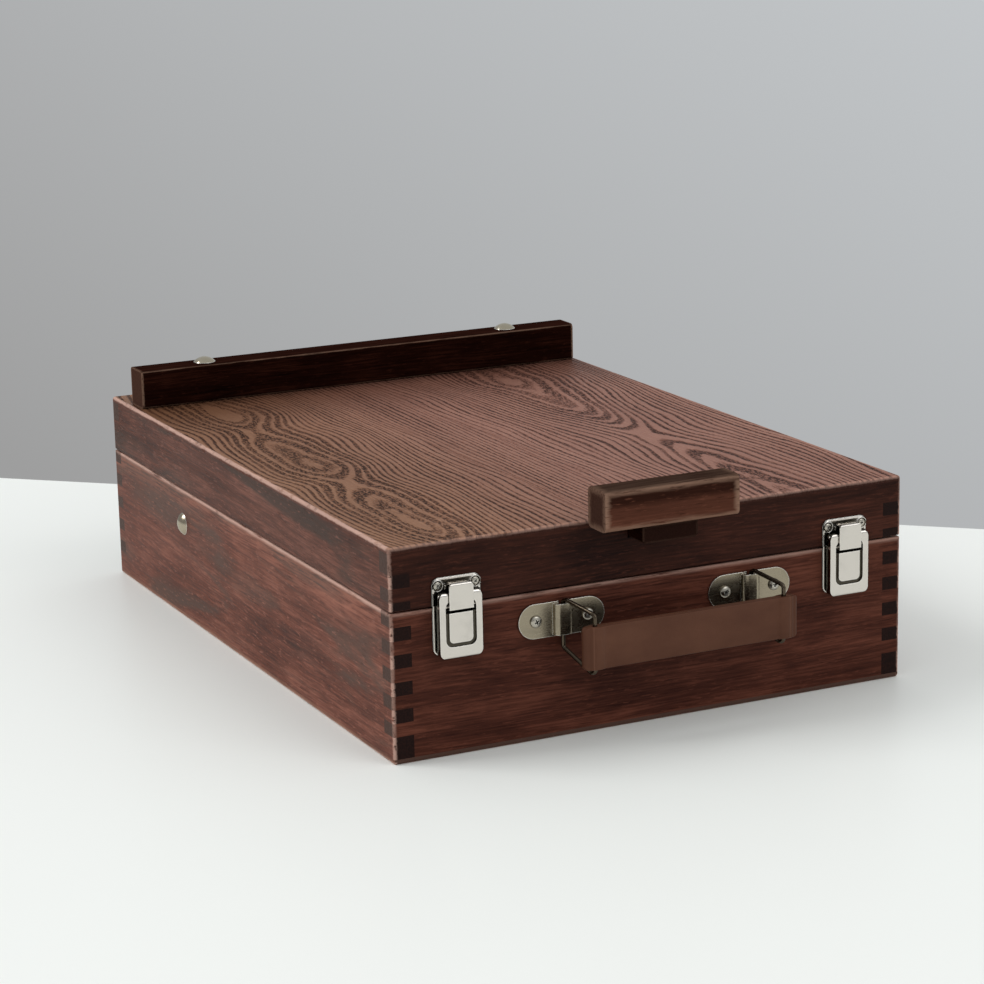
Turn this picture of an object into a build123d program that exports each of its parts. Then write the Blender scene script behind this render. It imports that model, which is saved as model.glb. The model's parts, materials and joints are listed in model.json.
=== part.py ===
from build123d import *
import os
from itertools import pairwise
from math import asin, atan2, cos, degrees, hypot, radians, sin

# Pochade box: a painter's field box. The tray carries a palette and compartments, and the lid is
# the easel: a canvas stands between the long ledge and the T-bar that slides out of the lid.
# Millimetres. The box stands on Z = 0 with its centre on the origin, its front at -Y (latches and
# handle) and its hinges at +Y.

# ------------------------------------------------------------------ driving dimensions: carcass
BOX_W = 320.0  # outside width
BOX_D = 450.0  # outside depth
BASE_H = 84.0  # underside to the sawn parting line
KERF = 1.0  # what the saw took between tray and lid
LID_H = 35.0  # lid's lower edge to the top of its panel
WALL = 12.0  # solid wood walls
PLY = 3.0  # bottom and top panels
EDGE_R = 1.8  # eased outer edges
RIM_R = 0.6  # eased edges at the parting line
FINGER = 7.6  # pitch of the finger joints
LID_TOP_FINGER = 11.8  # the uppermost finger is taller
BASE_FINGERS = 10
LID_FINGERS = 4

# ------------------------------------------------------------------ clearances
GAP = 0.3  # between pieces that move past each other
FIT = 0.05  # radial play of a pin in its bore

# ------------------------------------------------------------------ canvas clamp and ledge
SLAT_W, SLAT_T, SLAT_L = 34.0, 9.5, 300.0
SLAT_PROUD = 17.0  # how far the slat stands out of the closed lid
SLAT_CHAMFER = 3.0
RAIL_W, RAIL_L = 12.0, 363.0
KEEPER_D, KEEPER_T, KEEPER_R = 60.0, 6.0, 4.0
KEEPER_INSET = 8.0  # from the lid's front wall to the keeper
TBAR_W, TBAR_D, TBAR_H, TBAR_R = 83.0, 20.0, 23.0, 3.4
TBAR_SCREW_SPACING = 18.0
TBAR_SCREW_HEAD_R, TBAR_SCREW_R, TBAR_SCREW_BITE = 3.2, 1.6, 16.0
LEDGE_W, LEDGE_D, LEDGE_H, LEDGE_R = 312.0, 21.0, 25.0, 2.6
LEDGE_BACK = 30.0  # panel left bare behind the ledge
LEDGE_BOLT_INSET = 47.0  # ledge's end to its bolt
BOLT_R = 3.0
BOLT_PROUD = 2.5  # bolt's end past its nut
DOME_R, DOME_H = 7.2, 3.4
WING_HUB_R, WING_HUB_TOP_R, WING_HUB_H = 5.0, 3.9, 6.5
WING_R, WING_LOBE_R, WING_T = 11.4, 4.8, 1.8
LOCK_R = 2.5

# ------------------------------------------------------------------ tray fittings
RUNNER = 8.0  # square section of the palette runners
RUNNER_Z, RUNNER_CHAMFER = 36.0, 1.5
PALETTE_T, PALETTE_D, PALETTE_R, PALETTE_PLAY = 4.5, 236.0, 4.0, 1.0
THUMB_R, THUMB_INSET = 15.0, 38.0
PULL_L, PULL_W = 75.0, 15.0
DIVIDER_T, DIVIDER_H = 6.0, 36.0
LONG_DIVIDER_X, CROSS_DIVIDER_Y = 42.0, 58.0
BLOCK_W, BLOCK_T, BLOCK_R = 60.0, 12.0, 5.0
NUT_BARREL_R, NUT_FLANGE_R, NUT_FLANGE_T = 4.8, 11.0, 1.5
THREAD_R = 2.55  # tap drill of a 1/4"-20 thread

# ------------------------------------------------------------------ hinges
HINGE_INSET, HINGE_L = 60.0, 50.0  # side of the box to the hinge's middle
LEAF_H, LEAF_T, LEAF_R, LEAF_LAP = 20.0, 1.2, 2.0, 3.0
KNUCKLES, KNUCKLE_R = 5, 2.6
HINGE_PIN_R, HINGE_PIN_PROUD = 1.3, 0.5
HINGE_SCREW_SPACING, HINGE_SCREW_OUT = 34.0, 11.0

# ------------------------------------------------------------------ latches, sizes out of the front
LATCH_INSET = 38.5  # side of the box to the latch's middle
PLATE_T = 0.8
PLATE_W, PLATE_H, PLATE_R = 28.5, 26.2, 5.0
PLATE_SCREW_X, PLATE_SCREW_UP = 8.0, 6.0
LEVER_W, LEVER_H, LEVER_R, LEVER_EDGE_R = 25.0, 37.0, 4.0, 1.4
LEVER_WALL, LEVER_COVER = 0.8, 1.5
LEVER_FACE = 6.5  # face of the lever in front of the wood
LEVER_BACK = 1.6  # back edges of its flanges
PIVOT_OUT, PIVOT_UP = 4.2, 7.0  # lever pivot, out of the front and above the parting line
HOOK_DROP, HOOK_OUT = 6.0, 0.6  # hook pin below and outside the lever pivot
LATCH_PIN_R = 0.8
EAR_X, EAR_T, EAR_R = 8.9, 1.0, 1.2  # ears either side of the hook
EAR_FOOT, EAR_HEEL, EAR_OUT, EAR_WAIST = 18.0, 15.0, 2.2, 2.7
HOOK_W, HOOK_T, HOOK_R, HOOK_BEND_R = 14.2, 0.8, 2.4, 1.2
HOOK_EYE_R, HOOK_NECK, HOOK_FOOT = 2.0, 2.4, 1.5
HOOK_RISE = 13.0  # hook's top above its pin
WINDOW_HALF, WINDOW_DOWN, WINDOW_UP, WINDOW_R = 9.0, 3.5, 3.4, 4.0
TONGUE_HALF, TONGUE_R, TONGUE_FOOT = 6.9, 2.5, 8.6
GROOVE_W, GROOVE_DEEP = 2.1, 1.1
STRIKE_H, STRIKE_R = 15.2, 4.0
RIDGE_W, RIDGE_H, RIDGE_OUT, RIDGE_R = 16.0, 2.6, 2.8, 0.9
STRIKE_SCREW_X, STRIKE_SCREW_DOWN = 11.1, 4.3

# ------------------------------------------------------------------ handle
SADDLE_X, SADDLE_Z = 59.0, 68.0
SADDLE_L, SADDLE_H, SADDLE_T = 52.2, 19.5, 1.2
SADDLE_SCREW_SPACING = 31.6
CHANNEL_W, CHANNEL_OUT, CHANNEL_H, CHANNEL_R = 11.0, 5.0, 17.5, 3.0
CHANNEL_PLAY = 0.5
WIRE_R, RING_R = 1.2, 2.6
RING_OUT = 2.6  # ring's inner bar in front of the wood
RING_L = 23.0  # inner bar to outer bar
RING_REST, RING_SWING = 21.6, 60.0  # degrees from straight out
RING_DROOP = 0.243  # fall of the top wire per mm
RING_INNER_H, RING_OUTER_H = 27.5, 34.6
GRIP_L, GRIP_H, GRIP_T, GRIP_CORNER = 134.0, 24.0, 5.2, 3.0
EYE_HALF_L, EYE_HALF_T = 6.4, 4.0  # swelling where the grip wraps a ring
GRIP_BELOW_BAR = 6.0  # the ring's upper corner stands above the grip by this

# ------------------------------------------------------------------ lid stay
STAY_W, STAY_T = 12.0, 2.0
STAY_BOLT_Y, STAY_BOLT_Z = 96.0, 62.0
STAY_LID_Y, STAY_LID_Z = 118.0, 100.5
STAY_PIN_R, STAY_SHOULDER_R, STAY_HEAD_R, STAY_HEAD_T = 2.5, 5.0, 4.5, 1.4
STAY_SCREW_R, STAY_SCREW_L = 2.0, 8.0
STAY_WALL_GAP = 0.4

# ------------------------------------------------------------------ wood screws
SMALL_SCREW = (2.3, 1.1, 1.1, 8.0)  # head radius, head height, shank radius, length
SADDLE_SCREW = (3.4, 1.8, 1.6, 10.0)

# ------------------------------------------------------------------ worked out from the above
FRONT, BACK = -BOX_D / 2, BOX_D / 2
INNER_X, INNER_Y = BOX_W / 2 - WALL, BOX_D / 2 - WALL
LID_Z0 = BASE_H + KERF
LID_Z1 = LID_Z0 + LID_H
PANEL_Z0 = LID_Z1 - PLY
SLAT_Z0 = PANEL_Z0 - GAP - SLAT_T
RAIL_Z0 = SLAT_Z0 - GAP
RAIL_X = SLAT_W / 2 + GAP + RAIL_W / 2
SLAT_FRONT = FRONT - SLAT_PROUD
TBAR_Y = FRONT - GAP - TBAR_D / 2
KEEPER_Y = -INNER_Y + KEEPER_INSET + KEEPER_D / 2
LEDGE_Y = BACK - LEDGE_BACK - LEDGE_D / 2
LEDGE_BOLT_X = LEDGE_W / 2 - LEDGE_BOLT_INSET
HINGE_X, LATCH_X = BOX_W / 2 - HINGE_INSET, BOX_W / 2 - LATCH_INSET
PALETTE_Z0 = RUNNER_Z + RUNNER + GAP
HINGE_Y, HINGE_Z = BACK + LEAF_T / 2 + KNUCKLE_R, BASE_H + KERF / 2
PIVOT_Z = BASE_H + PIVOT_UP
HOOK_Z, HOOK_U = PIVOT_Z - HOOK_DROP, PIVOT_OUT + HOOK_OUT
HOOK_FACE = LEVER_FACE + GAP + HOOK_T
LEVER_ROLL = LEVER_FACE - PIVOT_OUT
LEVER_Z1 = PIVOT_Z + LEVER_ROLL
LEVER_Z0 = LEVER_Z1 - LEVER_H
STRIKE_Z0 = LID_Z0 + GAP
STRIKE_Z1 = STRIKE_Z0 + STRIKE_H
RIDGE_Z1 = HOOK_Z + HOOK_RISE - HOOK_T - GAP
STAY_KNEE_Y = STAY_BOLT_Y + STAY_LID_Y - HINGE_Y
STAY_KNEE_Z = STAY_BOLT_Z + STAY_LID_Z - HINGE_Z
STAY_X = -INNER_X + STAY_WALL_GAP

UP = (Align.CENTER, Align.CENTER, Align.MIN)
DOWN = (Align.CENTER, Align.CENTER, Align.MAX)
SIDES = (("left", -1), ("right", 1))
parts = {}


# ------------------------------------------------------------------ planes and small helpers
def front_plane(x, z, out=0.0):
    """Plane on the front of the box, looking outwards, with up along its Y axis."""
    return Plane(origin=(x, FRONT - out, z), x_dir=(1, 0, 0), z_dir=(0, -1, 0))


def back_plane(x, z, out=0.0):
    """Plane on the back of the box, looking outwards."""
    return Plane(origin=(x, BACK + out, z), x_dir=(-1, 0, 0), z_dir=(0, 1, 0))


def section_plane(x):
    """Upright plane across the front: its X axis points out of the box, its Y axis is up."""
    return Plane(origin=(x, FRONT, 0), x_dir=(0, -1, 0), z_dir=(-1, 0, 0))


def inward_plane(x, y, z):
    """Plane on the left side that looks into the box."""
    return Plane(origin=(x, y, z), x_dir=(0, 1, 0), z_dir=(1, 0, 0))


def block(x0, x1, y0, y1, z0, z1):
    """Box between two corners."""
    size = Box(x1 - x0, y1 - y0, z1 - z0)
    return Pos((x0 + x1) / 2, (y0 + y1) / 2, (z0 + z1) / 2) * size


def bar_section(width, height, radius, length):
    """Bar along X with a rounded section, centred on the origin."""
    return extrude(Plane.YZ * RectangleRounded(width, height, radius), length / 2, both=True)


def span(u0, u1, z0, z1):
    """Rectangle between two corners of a section plane."""
    return Pos((u0 + u1) / 2, (z0 + z1) / 2) * Rectangle(u1 - u0, z1 - z0)


def revolved(points):
    """Solid of revolution about Z from the corners of half its section."""
    return revolve(Plane.XZ * make_face(Polyline(*points, close=True)), Axis.Z)


def dome(radius, height):
    """Spherical cap that stands on Z = 0."""
    ball = (radius**2 + height**2) / (2 * height)
    half = asin(radius / ball) / 2
    middle = (ball * sin(half), height - ball + ball * cos(half))
    arc = ThreePointArc((radius, 0), middle, (0, height))
    outline = [arc, Line((0, height), (0, 0)), Line((0, 0), (radius, 0))]
    return revolve(Plane.XZ * make_face(outline), Axis.Z)


# ------------------------------------------------------------------ fasteners
def below(radius, length):
    """Round shank or hole that reaches down from Z = 0."""
    return Cylinder(radius, length, align=DOWN)


def pan_screw(head_r, head_h, shank_r, length):
    """Pan-head wood screw; the head sits on Z = 0."""
    rim = 0.4 * head_h
    crown = 0.6 * head_r
    return revolved([(0, head_h), (crown, head_h), (head_r, rim), (head_r, 0), (shank_r, 0),
                     (shank_r, -length), (0, -length)])


def pilot(shank_r, length):
    """Hole for a wood screw's shank."""
    return below(shank_r + FIT, length + FIT)


def flat_screw(head_r, shank_r, length):
    """Countersunk wood screw; its head is flush with Z = 0."""
    sink = head_r - shank_r
    return revolved([(0, 0), (head_r, 0), (shank_r, -sink), (shank_r, -length), (0, -length)])


def carriage_bolt(length):
    """Domed bolt; the head sits on Z = 0 and the shank reaches down."""
    return dome(DOME_R, DOME_H) + below(BOLT_R, length)


def winged_hub():
    """Hub that stands on Z = 0, with a pressed wing on either side."""
    lobe = Pos(WING_R - WING_LOBE_R, WING_HUB_H) * Circle(WING_LOBE_R)
    root = Pos(WING_HUB_R, WING_HUB_H / 2) * Rectangle(WING_HUB_R, 0.7 * WING_HUB_H)
    wing = extrude(Plane.XZ * (lobe + root), WING_T / 2, both=True)
    return Cone(WING_HUB_R, WING_HUB_TOP_R, WING_HUB_H, align=UP) + wing + mirror(wing, Plane.YZ)


def wing_nut():
    """Wing nut whose seat is on Z = 0."""
    return winged_hub() - Cylinder(BOLT_R + FIT, 4 * WING_HUB_H)


# ------------------------------------------------------------------ carcass
def band_edges(top, first, count, bottom):
    """Heights of the finger joints, from the top down; the last finger takes what is left."""
    return [top] + [top - first - i * FINGER for i in range(count - 1)] + [bottom]


def finger_outline(length, edges, keeps_first):
    """Board seen from outside, with its half of the box joint cut at both ends."""
    outline = span(-length / 2, length / 2, edges[-1], edges[0])
    for index, (high, low) in enumerate(pairwise(edges)):
        if (index % 2 == 0) != keeps_first:
            for end in (-1, 1):
                notch = Rectangle(WALL, high - low)
                outline -= Pos(end * (length - WALL) / 2, (high + low) / 2) * notch
    return outline


def eased_block(z0, z1, top_r, bottom_r):
    """The glued-up box with its outer edges eased."""
    solid = block(-BOX_W / 2, BOX_W / 2, FRONT, BACK, z0, z1)
    solid = fillet(solid.edges().filter_by(Axis.Z), EDGE_R)
    solid = fillet(solid.faces().sort_by(Axis.Z)[-1].edges(), top_r)
    return fillet(solid.faces().sort_by(Axis.Z)[0].edges(), bottom_r)


def four_walls(edges, blank):
    """Front, back, left and right boards of one half of the box."""
    across = finger_outline(BOX_W, edges, keeps_first=True)
    along = finger_outline(BOX_D, edges, keeps_first=False)
    return {
        "front_wall": extrude(front_plane(0, 0) * across, -WALL) & blank,
        "back_wall": extrude(back_plane(0, 0) * across, -WALL) & blank,
        "left_wall": extrude(Plane.YZ.offset(-BOX_W / 2) * along, WALL) & blank,
        "right_wall": extrude(Plane.YZ.offset(BOX_W / 2) * along, -WALL) & blank,
    }


def make_carcass():
    base_blank = eased_block(0, BASE_H, RIM_R, EDGE_R)
    lid_blank = eased_block(LID_Z0, LID_Z1, EDGE_R, RIM_R)
    base_edges = band_edges(BASE_H, FINGER, BASE_FINGERS, PLY)
    lid_edges = band_edges(PANEL_Z0, LID_TOP_FINGER, LID_FINGERS, LID_Z0)
    for name, wall in four_walls(base_edges, base_blank).items():
        parts["base_" + name] = wall
    for name, wall in four_walls(lid_edges, lid_blank).items():
        parts["lid_" + name] = wall
    parts["bottom_panel"] = base_blank & block(-BOX_W, BOX_W, -BOX_D, BOX_D, 0, PLY)
    parts["top_panel"] = lid_blank & block(-BOX_W, BOX_W, -BOX_D, BOX_D, PANEL_Z0, LID_Z1)
    half_slot = SLAT_W / 2 + GAP
    slot = block(-half_slot, half_slot, FRONT - 1, FRONT + WALL + 1, RAIL_Z0, PANEL_Z0 + 1)
    parts["lid_front_wall"] -= slot


# ------------------------------------------------------------------ tray fittings
def make_tray():
    """Runners, palette, dividers and the tripod socket."""
    for side, sign in SIDES:
        inner, outer = sorted((sign * (INNER_X - RUNNER), sign * INNER_X))
        strip = block(inner, outer, -INNER_Y, INNER_Y, RUNNER_Z, RUNNER_Z + RUNNER)
        parts[side + "_runner"] = chamfer(strip.edges().filter_by(Axis.Y).sort_by(
            lambda edge: abs(edge.center().X))[:2], RUNNER_CHAMFER)

    half = INNER_X - PALETTE_PLAY
    front_edge = -INNER_Y + PALETTE_PLAY
    sheet = Pos(0, front_edge + PALETTE_D / 2) * RectangleRounded(2 * half, PALETTE_D, PALETTE_R)
    sheet -= Pos(half - THUMB_INSET, front_edge + THUMB_INSET) * Circle(THUMB_R)
    pull = Pos(0, front_edge + THUMB_INSET) * SlotOverall(PULL_L, PULL_W)
    parts["palette"] = Pos(0, 0, PALETTE_Z0) * extrude(sheet - pull, PALETTE_T)

    top = PLY + DIVIDER_H
    half_t = DIVIDER_T / 2
    lap = PLY + DIVIDER_H / 2
    long_x, cross_y = LONG_DIVIDER_X, CROSS_DIVIDER_Y
    long_strip = block(long_x - half_t, long_x + half_t, -INNER_Y, INNER_Y, PLY, top)
    cross_strip = block(-INNER_X, INNER_X, cross_y - half_t, cross_y + half_t, PLY, top)
    crossing = (long_x - half_t, long_x + half_t, cross_y - half_t, cross_y + half_t)
    parts["long_divider"] = long_strip - block(*crossing, lap, top)
    parts["cross_divider"] = cross_strip - block(*crossing, PLY, lap)
    # The runners pass above the dividers' ends, which are cut back under them.
    for side, sign in SIDES:
        inner, outer = sorted((sign * (INNER_X - RUNNER), sign * INNER_X))
        under = block(inner, outer, -INNER_Y, INNER_Y, RUNNER_Z, top + 1)
        parts["cross_divider"] -= under

    half = BLOCK_W / 2
    pad = Pos(0, 0, PLY) * extrude(RectangleRounded(BLOCK_W, BLOCK_W, BLOCK_R), BLOCK_T)
    barrel_hole = Cylinder(NUT_BARREL_R, 4 * BLOCK_T)
    parts["tripod_block"] = pad - barrel_hole
    parts["bottom_panel"] -= barrel_hole
    seat = PLY + BLOCK_T
    nut = Cylinder(NUT_BARREL_R, seat, align=UP) + Pos(0, 0, seat) * Cylinder(
        NUT_FLANGE_R, NUT_FLANGE_T, align=UP)
    parts["tripod_nut"] = nut - Cylinder(THREAD_R, 4 * seat)
    if long_x - half_t < half:
        parts["long_divider"] -= block(-half, half + GAP, -half, half, PLY, seat)


# ------------------------------------------------------------------ canvas clamp in the lid
def make_clamp():
    """Guides, keeper, sliding slat, T-bar and lock screw."""
    guide_y0 = -INNER_Y
    for side, sign in SIDES:
        x = sign * RAIL_X
        rail = block(x - RAIL_W / 2, x + RAIL_W / 2, guide_y0, guide_y0 + RAIL_L, RAIL_Z0, PANEL_Z0)
        parts[side + "_slat_rail"] = rail

    half = RAIL_X + RAIL_W / 2
    keeper = block(-half, half, KEEPER_Y - KEEPER_D / 2, KEEPER_Y + KEEPER_D / 2,
                   RAIL_Z0 - KEEPER_T, RAIL_Z0)
    keeper = fillet(keeper.edges().filter_by(Axis.Z), KEEPER_R)
    parts["slat_keeper"] = keeper - Pos(0, KEEPER_Y, RAIL_Z0) * Cylinder(LOCK_R + FIT, 4 * KEEPER_T)

    slat = block(-SLAT_W / 2, SLAT_W / 2, SLAT_FRONT, SLAT_FRONT + SLAT_L, SLAT_Z0, SLAT_Z0 + SLAT_T)
    under = slat.edges().filter_by(Axis.Y).group_by(Axis.Z)[0]
    slat = chamfer(under, SLAT_CHAMFER / 2)
    bar_z0 = SLAT_Z0 + SLAT_T
    bar = bar_section(TBAR_D, TBAR_H, TBAR_R, TBAR_W)
    bar = Pos(0, TBAR_Y, bar_z0 + TBAR_H / 2) * bar
    screws = []
    for sign in (-1, 1):
        up = Plane(origin=(sign * TBAR_SCREW_SPACING / 2, TBAR_Y, SLAT_Z0), z_dir=(0, 0, -1))
        screw = up * flat_screw(TBAR_SCREW_HEAD_R, TBAR_SCREW_R, SLAT_T + TBAR_SCREW_BITE)
        slat -= screw
        bar -= screw
        screws.append(screw)
    parts["slat"] = slat
    parts["t_bar"] = bar
    parts["t_bar_screws"] = Compound(screws)

    thumb = Pos(0, 0, -KEEPER_T - GAP) * Rot(180, 0, 0) * winged_hub()
    thread = below(LOCK_R, KEEPER_T + GAP)
    parts["slat_lock_screw"] = Pos(0, KEEPER_Y, RAIL_Z0) * (thumb + thread)


# ------------------------------------------------------------------ ledge across the lid
def make_ledge():
    bar = Pos(0, LEDGE_Y, LID_Z1 + LEDGE_H / 2) * bar_section(LEDGE_D, LEDGE_H, LEDGE_R, LEDGE_W)
    reach = LEDGE_H + PLY + GAP + WING_HUB_H + BOLT_PROUD
    bolts = []
    for side, sign in SIDES:
        at = Pos(sign * LEDGE_BOLT_X, LEDGE_Y, 0)
        hole = at * Pos(0, 0, LID_Z1) * Cylinder(BOLT_R + FIT, 4 * LEDGE_H)
        bar -= hole
        parts["top_panel"] -= hole
        bolts.append(at * Pos(0, 0, LID_Z1 + LEDGE_H) * carriage_bolt(reach))
        parts[side + "_ledge_wing_nut"] = at * Pos(0, 0, PANEL_Z0 - GAP) * Rot(180, 0, 0) * wing_nut()
    parts["canvas_ledge"] = bar
    parts["ledge_bolts"] = Compound(bolts)


# ------------------------------------------------------------------ butt hinges
def hinge_leaf(x, up):
    """One leaf with its knuckles; up is 1 for the lid's leaf and -1 for the tray's."""
    edge = HINGE_Z + up * (KNUCKLE_R + GAP)
    sheet = extrude(back_plane(x, edge + up * LEAF_H / 2) * RectangleRounded(HINGE_L, LEAF_H, LEAF_R), LEAF_T)
    neck_z = sorted((HINGE_Z, edge + up * LEAF_LAP))
    pitch = HINGE_L / KNUCKLES
    for index in range(KNUCKLES):
        if (index % 2 == 0) == (up < 0):
            left = x - HINGE_L / 2 + index * pitch + GAP / 2
            right = left + pitch - GAP
            neck = block(left, right, BACK, BACK + LEAF_T, *neck_z)
            roll = Pos((left + right) / 2, HINGE_Y, HINGE_Z) * Rot(0, 90, 0) * Cylinder(
                KNUCKLE_R, right - left)
            sheet += neck + roll
    bore = Pos(x, HINGE_Y, HINGE_Z) * Rot(0, 90, 0) * Cylinder(HINGE_PIN_R + FIT, 2 * HINGE_L)
    return sheet - bore


def make_hinges():
    pins = []
    for up, half in ((-1, "base"), (1, "lid")):
        screws = []
        for side, sign in SIDES:
            x = sign * HINGE_X
            leaf = hinge_leaf(x, up)
            z = HINGE_Z + up * (KNUCKLE_R + GAP + HINGE_SCREW_OUT)
            for end in (-1, 1):
                at = back_plane(x + end * HINGE_SCREW_SPACING / 2, z, LEAF_T)
                leaf -= at * Cylinder(SMALL_SCREW[2] + FIT, 4 * LEAF_T)
                parts[half + "_back_wall"] -= at * pilot(*SMALL_SCREW[2:])
                screws.append(at * pan_screw(*SMALL_SCREW))
            parts[side + "_hinge_" + half + "_leaf"] = leaf
        parts["hinge_" + half + "_screws"] = Compound(screws)
    for side, sign in SIDES:
        rod = Cylinder(HINGE_PIN_R, HINGE_L + 2 * HINGE_PIN_PROUD)
        pins.append(Pos(sign * HINGE_X, HINGE_Y, HINGE_Z) * Rot(0, 90, 0) * rod)
    parts["hinge_pins"] = Compound(pins)


# ------------------------------------------------------------------ latches
def latch_pin(x, u, z):
    """Riveted cross pin of a latch."""
    return Pos(x, FRONT - u, z) * Rot(0, 90, 0) * Cylinder(LATCH_PIN_R, LEVER_W)


def latch_bore(x, u, z):
    """Running bore for a cross pin."""
    return Pos(x, FRONT - u, z) * Rot(0, 90, 0) * Cylinder(LATCH_PIN_R + FIT, 2 * LEVER_W)


def latch_plate(x):
    """Plate on the tray with the two ears that carry the lever."""
    z1 = BASE_H - GAP
    plate = extrude(front_plane(x, z1 - PLATE_H / 2) * Rectangle(PLATE_W, PLATE_H), PLATE_T)
    lower = plate.edges().filter_by(Axis.Y).group_by(Axis.Z)[0]
    plate = fillet(lower, PLATE_R)
    behind = PLATE_T + GAP
    waist_z = HOOK_Z + GAP
    shoulder = 0.7 * EAR_R
    outline = make_face(Polyline(
        (PLATE_T / 2, z1 - EAR_FOOT), (EAR_OUT, z1 - EAR_HEEL), (EAR_WAIST, waist_z),
        (PIVOT_OUT + shoulder, PIVOT_Z - shoulder), (PIVOT_OUT - shoulder, PIVOT_Z),
        (behind, waist_z), (behind, z1), (PLATE_T / 2, z1), close=True))
    outline += Pos(PIVOT_OUT, PIVOT_Z) * Circle(EAR_R)
    for sign in (-1, 1):
        plate += extrude(section_plane(x + sign * EAR_X) * outline, EAR_T / 2, both=True)
    return plate


def latch_lever(x):
    """Pressed cover with side flanges, a window for the hook and a raised tongue below it."""
    middle = (LEVER_Z0 + LEVER_Z1) / 2
    outer = span(LEVER_BACK, LEVER_FACE, LEVER_Z0, PIVOT_Z)
    outer = fillet(outer.vertices().sort_by(Axis.Y)[:2].sort_by(Axis.X)[-1:], LEVER_EDGE_R)
    outer += Pos(PIVOT_OUT, PIVOT_Z) * Circle(LEVER_ROLL)
    shell = extrude(section_plane(x) * outer, LEVER_W / 2, both=True)
    shell &= extrude(front_plane(x, middle) * RectangleRounded(LEVER_W, LEVER_H, LEVER_R), LEVER_FACE)

    window_z0 = HOOK_Z - WINDOW_DOWN
    hollow = span(0, LEVER_FACE - LEVER_COVER, 0, window_z0)
    hollow += span(0, LEVER_FACE - LEVER_WALL, window_z0, PIVOT_Z)
    hollow += span(0, PIVOT_OUT, PIVOT_Z, LID_Z1)
    hollow += Pos(PIVOT_OUT, PIVOT_Z) * Circle(LEVER_ROLL - LEVER_WALL)
    inside = extrude(section_plane(x) * hollow, LEVER_W / 2 - LEVER_WALL, both=True)
    room = RectangleRounded(LEVER_W - 2 * LEVER_WALL, LEVER_H - 2 * LEVER_WALL, LEVER_R - LEVER_WALL)
    room = front_plane(x, middle) * room
    shell -= inside & extrude(room, LEVER_FACE)
    shell -= block(x - LEVER_W, x + LEVER_W, FRONT - PIVOT_OUT, FRONT, PIVOT_Z + EAR_R + GAP, LID_Z1)
    ear_room = EAR_X + EAR_T / 2 + GAP
    shell -= block(x - ear_room, x + ear_room, FRONT - PIVOT_OUT, FRONT, PIVOT_Z, LID_Z1)

    groove_foot = LEVER_Z0 + TONGUE_FOOT - GROOVE_W
    tall = HOOK_Z + WINDOW_UP - groove_foot
    trough = Pos(0, groove_foot + tall / 2) * RectangleRounded(2 * WINDOW_HALF, tall, WINDOW_R)
    tongue_foot = LEVER_Z0 + TONGUE_FOOT
    tongue = Pos(0, tongue_foot + tall / 2) * RectangleRounded(2 * TONGUE_HALF, tall, TONGUE_R)
    tongue &= span(-LEVER_W, LEVER_W, 0, window_z0)
    shell -= extrude(front_plane(x, 0, LEVER_FACE - GROOVE_DEEP) * (trough - tongue), LEVER_FACE)
    shell -= latch_bore(x, PIVOT_OUT, PIVOT_Z)
    return shell - latch_pin(x, HOOK_U, HOOK_Z)


def latch_hook(x):
    """Bent strap that turns on the lever's lower pin and bears on the strike's ridge."""
    top = HOOK_Z + HOOK_RISE
    strap = span(HOOK_FACE - HOOK_T, HOOK_FACE, HOOK_Z - HOOK_FOOT, top)
    strap += span(PLATE_T + 2 * GAP, HOOK_FACE, top - HOOK_T, top)
    corner = strap.vertices().group_by(Axis.Y)[-1].sort_by(Axis.X)[-1:]
    strap = fillet(corner, HOOK_BEND_R)
    strap += Pos(HOOK_U, HOOK_Z) * Circle(HOOK_EYE_R)
    strap += span(HOOK_U, HOOK_FACE - HOOK_T / 2, HOOK_Z - HOOK_NECK / 2, HOOK_Z + HOOK_NECK / 2)
    hook = extrude(section_plane(x) * strap, HOOK_W / 2, both=True)
    face = fillet(span(-HOOK_W / 2, HOOK_W / 2, 0, top).vertices().group_by(Axis.Y)[-1], HOOK_R)
    hook &= extrude(front_plane(x, 0) * face, 2 * LEVER_FACE)
    return hook - latch_bore(x, HOOK_U, HOOK_Z)


def strike_plate(x):
    """Plate on the lid with the pressed ridge that the hook pulls on."""
    plate = extrude(front_plane(x, STRIKE_Z0 + STRIKE_H / 2) * Rectangle(PLATE_W, STRIKE_H), PLATE_T)
    plate = fillet(plate.edges().filter_by(Axis.Y).group_by(Axis.Z)[-1], STRIKE_R)
    ridge = extrude(front_plane(x, RIDGE_Z1 - RIDGE_H / 2) * Rectangle(RIDGE_W, RIDGE_H),
                    PLATE_T + RIDGE_OUT)
    nose = ridge.faces().sort_by(Axis.Y)[0].edges()
    return plate + fillet(nose, RIDGE_R)


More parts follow.
